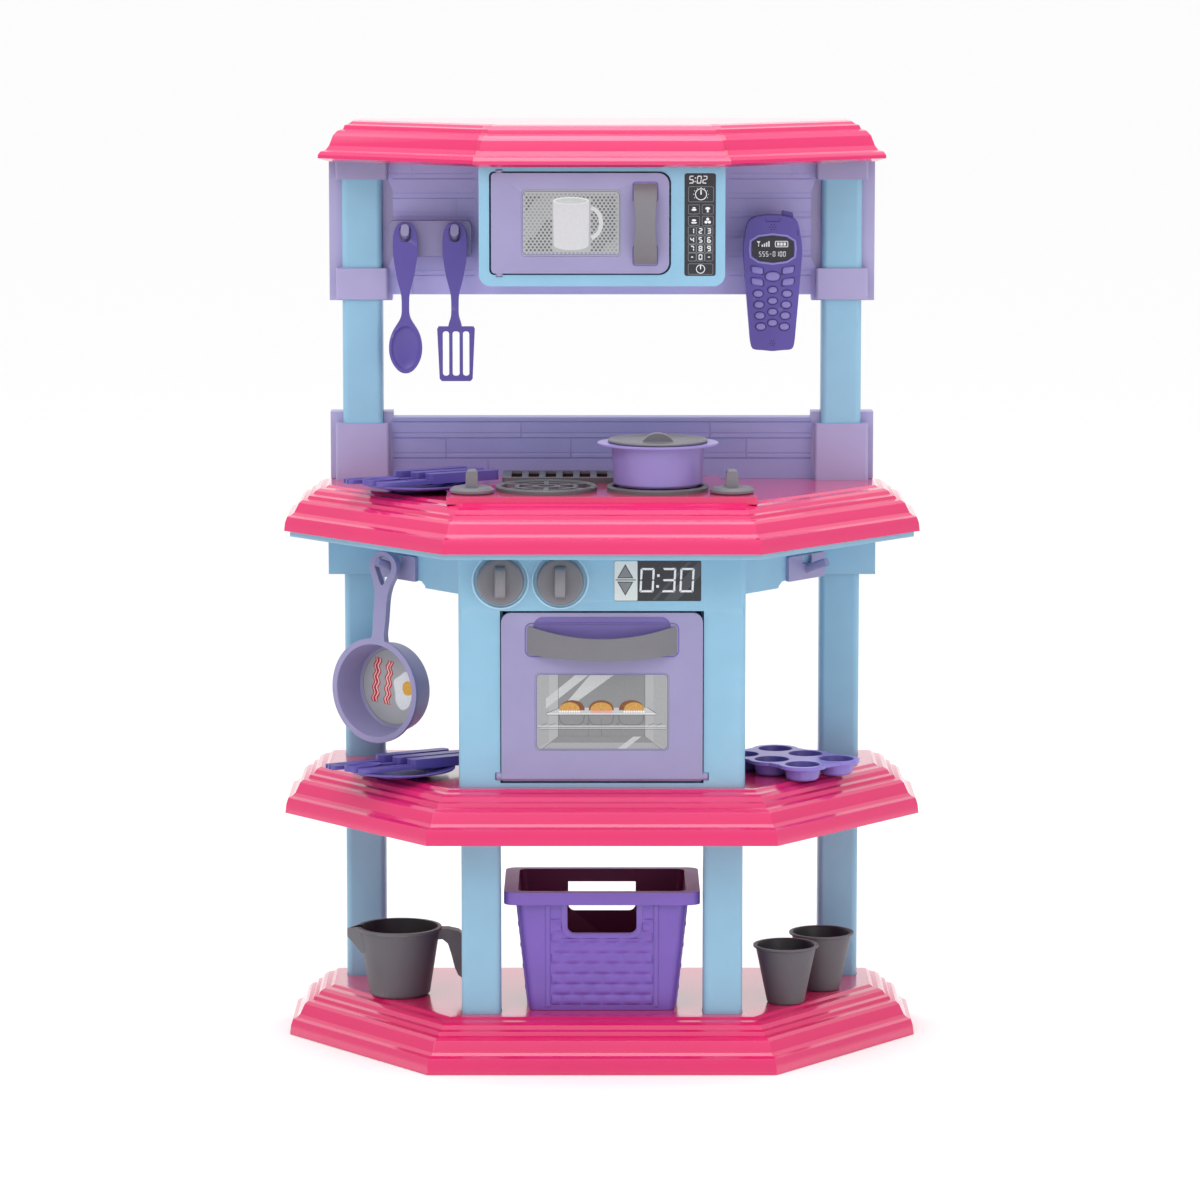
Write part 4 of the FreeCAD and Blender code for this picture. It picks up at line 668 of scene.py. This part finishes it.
# oven window: grey interior with a rack, a tray and three cakes ------------------
OW = front(54.5)


def ow(u, v):
    """Point of the label from its place on the drawing, 131 wide and 76 high."""
    return ((u - 600.5) * 1.018, 361.5 - (v - 709.0) * 1.018)


plate("oven_back_wall", [[ow(557.3, 672), ow(643, 672), ow(643, 733.6), ow(557.3, 733.6)]], OW, 0.0, 0.03, "oven_door", "sticker_grey", INK_WALL)
plate("oven_side_panels", [[ow(651.5, 672), ow(664.6, 672), ow(664.6, 746.6), ow(651.5, 738.8)], [ow(535.6, 673), ow(548, 672), ow(548, 739.0), ow(535.6, 746.0)]], OW, 0.0, 0.02,
      "oven_door", "sticker_grey", INK_STREAK)
plate("oven_floor", [[ow(557, 734), ow(643, 734), ow(660, 746.6), ow(541, 746.6)]], OW, 0.0, 0.03, "oven_door", "sticker_grey", INK_STREAK)
plate("oven_floor_shade", [[ow(557, 734), ow(643, 734), ow(651, 740), ow(549, 740)]], OW, 0.03, 0.01, "oven_door", "sticker_grey", INK_WALL)
plate("oven_glare", [[ow(545, 706), ow(545, 696), ow(574, 672.4), ow(587, 672.4)], [ow(560, 706), ow(566, 706), ow(612, 672.4), ow(588.5, 672.4)],
                     [ow(616, 746), ow(624, 746), ow(640, 733.6), ow(632, 733.6)]], OW, 0.031, 0.01, "oven_door", "sticker_grey", INK_SHEEN)
plate("oven_wall_lines", stroke([ow(557.3, 672), ow(557.3, 733.6), ow(541, 746.6)], 0.45) + stroke([ow(643, 672), ow(643, 733.6), ow(660, 746.6)], 0.45)
      + stroke([ow(557.3, 733.6), ow(643, 733.6)], 0.45) + stroke([ow(587, 716), ow(587, 733.6)], 0.35) + stroke([ow(600, 716), ow(600, 733.6)], 0.35),
      OW, 0.045, 0.01, "oven_door", "sticker_grey", INK_LINE)
plate("oven_tray_top", [[ow(546.6, 710.4), ow(653.2, 710.4), ow(645.2, 705), ow(559.8, 705)]], OW, 0.05, 0.03, "oven_door", "sticker_grey", INK_SHEEN)
plate("oven_tray_light", stroke([ow(546.4, 711.2), ow(653.4, 711.2)], 1.0) + stroke([ow(537, 723.4), ow(664, 723.4)], 0.7) + stroke([ow(539, 725.4), ow(664, 725.4)], 0.5),
      OW, 0.08, 0.03, "oven_door", "sticker_grey", INK_WHITE)
outl = []
for uc in (570.6, 599.6, 629.4):
    outl += stroke([ow(uc - 12.6, 712.4), ow(uc - 11.4, 719.0), ow(uc - 7.0, 722.2), ow(uc + 7.0, 722.2), ow(uc + 11.4, 719.0), ow(uc + 12.6, 712.4)], 0.7)
plate("oven_tray_lines", outl + stroke([ow(546.0, 710.3), ow(559.8, 704.8)], 0.6) + stroke([ow(653.8, 710.3), ow(645.2, 704.8)], 0.6) + stroke([ow(546.4, 712.2), ow(653.4, 712.2)], 0.45)
      + stroke([ow(537, 724.4), ow(664, 724.4)], 0.45) + stroke([ow(539, 726.4), ow(664, 726.4)], 0.4)
      + sum([stroke([ow(u_, 722.8), ow(u_ + w_, 720.6)], 0.45) for u_, w_ in ((540, 6), (548, 6), (584, 3), (588, -3), (614, 3), (618, -3), (646, 6), (654, 6))], []),
      OW, 0.09, 0.03, "oven_door", "sticker_grey", INK_LINE)
cakes, tops, paper, pink_paper = [], [], [], []
for uc, sh in ((571, 2.6), (599.8, 0.0), (629.6, -2.6)):
    cakes.append([ow(uc + 12.4 * math.cos(math.radians(a)), 707.6 - 10.2 * math.sin(math.radians(a)) ** 0.85) for a in range(0, 181, 10)])
    tops.append([ow(uc - sh + (10.2 if sh else 10.8) * math.cos(math.radians(a)), 708.0 - 8.4 * math.sin(math.radians(a)) ** 0.85) for a in range(0, 181, 10)])
    for k in range(9):
        t_ = oval(*ow(uc - sh + 2.35 * (k - 4), 708.9), 1.0, 1.25, 10)
        (pink_paper if sh == 0 else paper).append(t_)
plate("oven_cakes", cakes, OW, 0.11, 0.04, "oven_door", "sticker_grey", INK_BROWN)
plate("oven_cake_tops", tops, OW, 0.15, 0.04, "oven_door", "sticker_grey", INK_GOLD)
plate("oven_cup_paper", paper, OW, 0.19, 0.03, "oven_door", "sticker_grey", INK_WHITE)
plate("oven_cup_pink_paper", pink_paper, OW, 0.19, 0.03, "oven_door", "sticker_grey", INK_ROSE)
plate("oven_window_border", stroke(rr(0.0, 361.5, 66.2, 38.2, 4.2), 0.8, closed=True), OW, 0.06, 0.05, "oven_door", "lavender", INK_EDGE_AND_GROOVE_SHADE)

# Dark violet outlines round the microwave and oven handles: painted shade of the groove round each handle.
plate("mw_handle_groove_shade", stroke(rr(43.6, 881.1, 12.4, 9.8, 2.5), 1.3, closed=True) + stroke(rr(43.6, 817.2, 12.4, 10.0, 2.5), 1.3, closed=True),
      front(110.0), -0.05, 0.12, "microwave_door", "lavender", INK_EDGE_AND_GROOVE_SHADE)
plate("handle_groove_shade", stroke(rr(0.0, 434.6, 77.0, 16.8, 6.0), 1.5, closed=True), front(54.0), -0.05, 0.12, "oven_door", "lavender", INK_EDGE_AND_GROOVE_SHADE)

# pan: a printed breakfast ------------------------------------------------------
_lo, _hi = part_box("pan_food_label")
PAN_C = (_lo + _hi) * 0.5
_m = Matrix.Rotation(math.radians(-35), 3, "Z") @ Matrix.Rotation(math.radians(5.5), 3, "Y")


def pan3(u, v, o):
    # a point on the disc: u to the right, v up, o towards the open side
    return PAN_C + _m @ Vector((u / 1000.0, -(0.225 + o) / 1000.0, v / 1000.0))


def wavy(x0, zt, zb, w, ph, amp=1.3):
    L_, R_ = [], []
    n = 22
    for i in range(n + 1):
        z = zt + (zb - zt) * i / n
        x = x0 + amp * math.sin(i * 1.15 + ph)
        L_.append((x - w / 2, z))
        R_.append((x + w / 2, z))
    return [[L_[i], R_[i], R_[i + 1], L_[i + 1]] for i in range(n)]


plate("pan_bacon", wavy(-22.5, 27, -20, 8.4, 0.0) + wavy(-7.0, 26, -20, 8.0, 0.9), pan3, 0.0, 0.06, "pan", "sticker_grey", INK_RED)
plate("pan_bacon_fat", wavy(-24.6, 26.5, -19.5, 1.3, 0.0) + wavy(-20.6, 26.5, -19.5, 1.7, 0.3) + wavy(-8.6, 25.5, -19.5, 1.8, 0.9) + wavy(-5.2, 25.5, -19.5, 1.2, 1.2),
      pan3, 0.06, 0.04, "pan", "sticker_grey", INK_PINK)
egg = [(14 + (13.5 + 1.6 * math.sin(3 * t) + 0.9 * math.sin(5 * t + 1)) * math.cos(t), -2 + (20 + 1.4 * math.sin(2 * t + 0.6) + 1.2 * math.cos(4 * t)) * math.sin(t))
       for t in [2 * math.pi * i / 44 for i in range(44)]]
plate("pan_egg_white", [egg], pan3, 0.0, 0.07, "pan", "sticker_grey", INK_WHITE)
plate("pan_egg_edge", stroke(egg, 0.7, closed=True), pan3, 0.07, 0.02, "pan", "sticker_grey", INK_PALE)
plate("pan_yolk", [oval(18.5, 1.5, 7.0, 7.6, 30)], pan3, 0.07, 0.09, "pan", "sticker_grey", INK_YOLK)
plate("pan_rim_print", stroke(oval(0, 0, 39.6, 39.6, 60), 0.8, closed=True), pan3, 0.0, 0.03, "pan", "sticker_grey", INK_MID)

# telephone ---------------------------------------------------------------------
PX = 175.2
KEY = plastic("phone_key", (134, 124, 190), rough=0.36, vary=0.04, bump=0.00002, wear=0.1)
# Dark violet for the gaps round the phone keys and for the speaker holes: painted shade.
KEY_GAP_SHADE = plastic("phone_key_gap_painted_shade", (58, 44, 110), rough=0.45, vary=0.06, wear=0.0)
PF = front(214.0)
soft = [(-15.8, 794.5, 5.8, 4.2), (15.8, 794.5, 5.8, 4.2), (-15.8, 782.5, 5.8, 4.2), (15.8, 782.5, 5.8, 4.2), (0, 788.3, 7.2, 4.4)]
keys = [(s * (14.8 - 0.9 * r), 770.5 - 11.3 * r, 4.6, 3.2) for r in range(4) for s in (-1, 1)] + [(0, 774.4 - 11.3 * r, 4.4, 3.0) for r in range(4)]
bm = bmesh.new()
rings_ = []
for kx, kz, kw, kh in soft + keys:
    if (kx, kz, kw, kh) in soft and kx:
        s = 1 if kx > 0 else -1
        o = [(PX + kx - s * kw, kz - kh * 0.9), (PX + kx + s * kw * 0.75, kz - kh * 0.55), (PX + kx + s * kw, kz + kh * 0.1), (PX + kx + s * kw, kz + kh),
             (PX + kx - s * kw * 0.9, kz + kh * 0.55)]
        big = []
        for i in range(len(o)):
            a, b = Vector(o[i]), Vector(o[(i + 1) % len(o)])
            big += [tuple(a.lerp(b, t)) for t in (0.14, 0.5, 0.86)]
        o = big
    else:
        o = oval(PX + kx, kz, kw, kh, 24)
    dome(bm, o, PF, 0.4, 1.35, 1.1)
    cx_ = sum(p[0] for p in o) / len(o)
    cz_ = sum(p[1] for p in o) / len(o)
    rings_.append([(cx_ + (u - cx_) * (1 + 1.5 / kw), cz_ + (v - cz_) * (1 + 1.5 / kh)) for u, v in o])
done(bm, "phone_keys", "phone", "lavender", KEY)
# Dark rings round the key bases: painted shade in the gaps.
plate("phone_key_gap_shade_rings", rings_, PF, -0.15, 0.4, "phone", "violet", KEY_GAP_SHADE)
disp_o = [(-21.5, 824), (-14, 828.6), (0, 830.2), (14, 828.6), (21.5, 824), (22.3, 816.4), (21.5, 809), (14, 804.2), (0, 802.4), (-14, 804.2), (-21.5, 809), (-22.3, 816.4)]
plate("phone_display_bezel", stroke([(PX + a * 1.06, 816.3 + (b - 816.3) * 1.10) for a, b in disp_o], 1.9, closed=True), PF, -0.2, 0.75, "phone", "lavender", KEY)
PD = front(214.4)
pw = []
for i, h_ in enumerate((2.2, 3.4, 4.6, 5.8)):
    pw.append([(PX - 11.5 + 2.3 * i, 818.6), (PX - 10.1 + 2.3 * i, 818.6), (PX - 10.1 + 2.3 * i, 818.6 + h_), (PX - 11.5 + 2.3 * i, 818.6 + h_)])
pw.append([(PX - 16.5, 824.4), (PX - 12.6, 824.4), (PX - 14.5, 821.6)])
pw += stroke([(PX - 14.5, 822.0), (PX - 14.5, 818.6)], 0.7)
pw += stroke(rr(PX + 9.0, 821.4, 6.4, 2.8, 0.8), 0.8, closed=True)
for i in range(3):
    pw.append([(PX + 4.4 + 3.3 * i, 819.8), (PX + 6.9 + 3.3 * i, 819.8), (PX + 6.9 + 3.3 * i, 823.0), (PX + 4.4 + 3.3 * i, 823.0)])
pw += number("555-0100", PX - 14.2, 808.6, 2.6, 5.2, 0.62, 0.95)
plate("phone_display_print", pw, PD, 0.0, 0.05, "phone", "sticker_grey", INK_WHITE)
# Speaker holes and slots in dark violet: painted shade.
dots = [oval(PX + 2.9 * math.cos(math.radians(60 * k)), 838.8 + 2.9 * math.sin(math.radians(60 * k)), 0.75, 0.75, 10) for k in range(6)] + [oval(PX, 838.8, 0.75, 0.75, 10)]
dots += [oval(PX + 2.6 * math.cos(math.radians(60 * k)), 719.6 + 2.6 * math.sin(math.radians(60 * k)), 0.7, 0.7, 10) for k in range(6)] + [oval(PX, 719.6, 0.7, 0.7, 10)]
dots += stroke([(PX - 7.5, 847.4), (PX - 6.8, 844.6), (PX + 6.8, 844.6), (PX + 7.5, 847.4)], 0.9)
dots += stroke([(PX + 25.6 - 1.2 * k * 0, 836 - 6.0 * k) for k in range(2)], 0.9)
plate("phone_speaker_dots", dots, PF, -0.1, 0.4, "phone", "violet", KEY_GAP_SHADE)

# basket: woven relief on the four walls and a raised frame round each hand slot -----
BZ_LO, BZ_HI = 50.25, 174.5


def wall_map(side):
    """Maps along, z, out (mm) to the frame for the sloping outer walls."""
    def f(u, v, o):
        t = (v - BZ_LO) / (BZ_HI - BZ_LO)
        if side in ("front", "rear"):
            dep = 75.0 + (69.0 - 75.0) * t
            d = dep - o if side == "front" else 262.0 - dep + o
            return Vector((u / 1000.0, Y(d), v / 1000.0))
        x = 74.0 + (87.5 - 74.0) * t + o
        return Vector(((x if side == "right" else -x) / 1000.0, Y(131.0 + u), v / 1000.0))
    return f


def pillow(u, v, pitch_u, pitch_v):
    r = math.floor(v / pitch_v)
    tv = v / pitch_v - r
    uu = u / pitch_u + (0.5 if r % 2 else 0.0)
    tu = uu - math.floor(uu)
    a = max(0.0, math.sin(math.pi * min(1.0, tv * 1.15))) ** 0.5
    b = 0.05 + 0.95 * max(0.0, math.sin(math.pi * tu)) ** 0.85
    return a * b


def weave(side, u_half, z0, z1, notch=None):
    m3 = wall_map(side)
    step = 1.0
    us = [-u_half + (2 * u_half) * i / round(2 * u_half / step) for i in range(round(2 * u_half / step) + 1)]
    zs = [z0 + (z1 - z0) * i / round((z1 - z0) / step) for i in range(round((z1 - z0) / step) + 1)]
    bm = bmesh.new()
    fr, bk = {}, {}

    def used(i, j):
        if not notch:
            return True
        uc, zc = (us[i] + us[i + 1]) / 2, (zs[j] + zs[j + 1]) / 2
        return not (abs(uc) < notch[0] and zc > notch[1])
    for i in range(len(us)):
        for j in range(len(zs)):
            edge = min(1.0, min(us[i] + u_half, u_half - us[i], zs[j] - z0, z1 - zs[j]) / 1.2)
            h = 0.1 + 2.3 * pillow(us[i] + 500 * 20.4, zs[j] - z0, 20.4, 10.9) * max(0.0, edge)
            fr[i, j] = bm.verts.new(m3(us[i], zs[j], h))
            bk[i, j] = bm.verts.new(m3(us[i], zs[j], -0.9))
    cells = {(i, j) for i in range(len(us) - 1) for j in range(len(zs) - 1) if used(i, j)}
    for i, j in cells:
        bm.faces.new((fr[i, j], fr[i + 1, j], fr[i + 1, j + 1], fr[i, j + 1]))
        bm.faces.new((bk[i, j], bk[i, j + 1], bk[i + 1, j + 1], bk[i + 1, j]))
        for (di, dj, a, b) in ((-1, 0, (i, j), (i, j + 1)), (1, 0, (i + 1, j), (i + 1, j + 1)), (0, -1, (i, j), (i + 1, j)), (0, 1, (i, j + 1), (i + 1, j + 1))):
            if (i + di, j + dj) not in cells:
                bm.faces.new((fr[a], fr[b], bk[b], bk[a]))
    for v in [v for v in bm.verts if not v.link_faces]:
        bm.verts.remove(v)
    done(bm, "basket_weave_" + side, "basket", "basket_violet", MAT["basket_violet"], smooth=60)


weave("front", 51.5, 56.0, 146.0, notch=(41.5, 124.5))
weave("rear", 51.5, 56.0, 146.0, notch=(41.5, 124.5))
weave("left", 44.0, 56.0, 150.0)
weave("right", 44.0, 56.0, 150.0)


def band(name, side, path, w, h, closed=False):
    """Raised rib with rounded shoulders along a path on a wall."""
    m3 = wall_map(side)
    bm = bmesh.new()
    n = len(path)
    rows_ = []
    for i in range(n):
        a, b = (path[i - 1], path[(i + 1) % n]) if closed else (path[max(i - 1, 0)], path[min(i + 1, n - 1)])
        dx, dz = b[0] - a[0], b[1] - a[1]
        le = math.hypot(dx, dz) or 1.0
        nx, nz = -dz / le, dx / le
        x, z = path[i]
        rows_.append([bm.verts.new(m3(x + nx * w * s / 2, z + nz * w * s / 2, o)) for s, o in
                      ((-1.0, -0.8), (-1.0, h * 0.45), (-0.72, h * 0.92), (-0.35, h), (0.35, h), (0.72, h * 0.92), (1.0, h * 0.45), (1.0, -0.8))])
    for i in range(n if closed else n - 1):
        A, B = rows_[i], rows_[(i + 1) % n]
        for k in range(8):
            bm.faces.new((A[k], A[(k + 1) % 8], B[(k + 1) % 8], B[k]))
    if not closed:
        bm.faces.new(rows_[0])
        bm.faces.new(rows_[-1][::-1])
    return done(bm, name, "basket", "basket_violet", MAT["basket_violet"], smooth=50)


def u_path(w, zb, zt, r, n=6):
    p = [(-w, zt), (-w, zb + r)]
    p += [(-w + r - r * math.cos(math.radians(90.0 * i / n)), zb + r - r * math.sin(math.radians(90.0 * i / n))) for i in range(1, n + 1)]
    q = [(-x, z) for x, z in p[::-1]]
    return p + q[1:] if abs(p[-1][0] + q[0][0]) < 1e-9 and p[-1] == q[0] else p + q


for side in ("front", "rear"):
    band("basket_slot_frame_" + side, side, u_path(38.4, 127.6, 160.6, 10.0), 5.6, 1.3)
    for s, nm in ((-1, "left"), (1, "right")):
        band("basket_%s_rib_%s" % (side, nm), side, [(s * 55.0, 54.5 + (160.0 - 54.5) * i / 12.0) for i in range(13)], 4.6, 1.5)
for side in ("left", "right"):
    for s, nm in ((-1, "front"), (1, "rear")):
        band("basket_%s_rib_%s" % (side, nm), side, [(s * 47.5, 54.5 + (160.0 - 54.5) * i / 12.0) for i in range(13)], 4.6, 1.5)
#PRINTS-END

# ---------------------------------------------------------------------------
# floor, light, camera
# ---------------------------------------------------------------------------
bm = bmesh.new()
R = 70.0
N_ = 48
cen = bm.verts.new((0, 0, -0.0004))
ring = [bm.verts.new((R * math.cos(2 * math.pi * i / N_), R * math.sin(2 * math.pi * i / N_), -0.0004)) for i in range(N_)]
for i in range(N_):
    bm.faces.new((cen, ring[i], ring[(i + 1) % N_]))
me = bpy.data.meshes.new("studio_floor")
bm.to_mesh(me)
bm.free()
floor = bpy.data.objects.new("studio_floor", me)
COLL.objects.link(floor)
fm = plastic("studio_floor_paper", (250, 250, 250), rough=0.85, vary=0.005, grain=300.0, bump=0.00002, wear=0.0, spec=0.1)
me.materials.append(fm)

world = bpy.data.worlds.new("studio")
world.use_nodes = True
wn_, wl_ = world.node_tree.nodes, world.node_tree.links
wc = wn_.new("ShaderNodeTexCoord")
ws = wn_.new("ShaderNodeSeparateXYZ")
wr = wn_.new("ShaderNodeValToRGB")
wl_.new(wc.outputs["Generated"], ws.inputs["Vector"])
wm = wn_.new("ShaderNodeMapRange")
wm.inputs["From Min"].default_value = -0.25
wm.inputs["From Max"].default_value = 0.7
wm.inputs["To Min"].default_value = 0.0
wm.inputs["To Max"].default_value = 0.66
wl_.new(ws.outputs["Y"], wm.inputs["Value"])
wx = wn_.new("ShaderNodeMath")
wx.operation = "MAXIMUM"
wl_.new(ws.outputs["Z"], wx.inputs[0])
wl_.new(wm.outputs["Result"], wx.inputs[1])
wl_.new(wx.outputs["Value"], wr.inputs["Fac"])
wl_.new(wr.outputs["Color"], wn_["Background"].inputs["Color"])
for e_, (p_, g_) in zip([wr.color_ramp.elements[0], wr.color_ramp.elements[1], wr.color_ramp.elements.new(0.35), wr.color_ramp.elements.new(0.75)],
                        ((0.0, 0.30), (1.0, 1.0), (0.35, 0.40), (0.75, 0.95))):
    e_.position = p_
    e_.color = (g_, g_, g_, 1)
wn_["Background"].inputs["Strength"].default_value = 1.25
bpy.context.scene.world = world


def area(name, loc, target, size, power, color=(1, 1, 1)):
    li = bpy.data.lights.new(name, "AREA")
    li.shape = "RECTANGLE"
    li.size, li.size_y = size
    li.energy = power
    li.color = color
    ob = bpy.data.objects.new(name, li)
    COLL.objects.link(ob)
    ob.location = loc
    ob.rotation_euler = (Vector(target) - Vector(loc)).to_track_quat("-Z", "Y").to_euler()
    return ob


area("key", (-1.5, -2.4, 2.7), (0, 0, 0.45), (2.2, 1.6), 26.0)
area("fill", (2.0, -2.6, 1.3), (0, 0, 0.45), (2.0, 2.0), 12.0)
area("top", (0.0, -0.2, 3.0), (0, 0, 0.5), (2.4, 1.6), 27.0)

cam = bpy.data.cameras.new("camera")
cam.lens = 156.8
cam.sensor_width = 36.0
cam.clip_end = 200.0
co = bpy.data.objects.new("camera", cam)
COLL.objects.link(co)
co.location = (-0.002, -5.287, 1.197)
co.rotation_euler = (math.radians(90.0 - 7.905), 0.0, 0.0)
bpy.context.scene.camera = co
bpy.context.scene.view_settings.view_transform = "Standard"
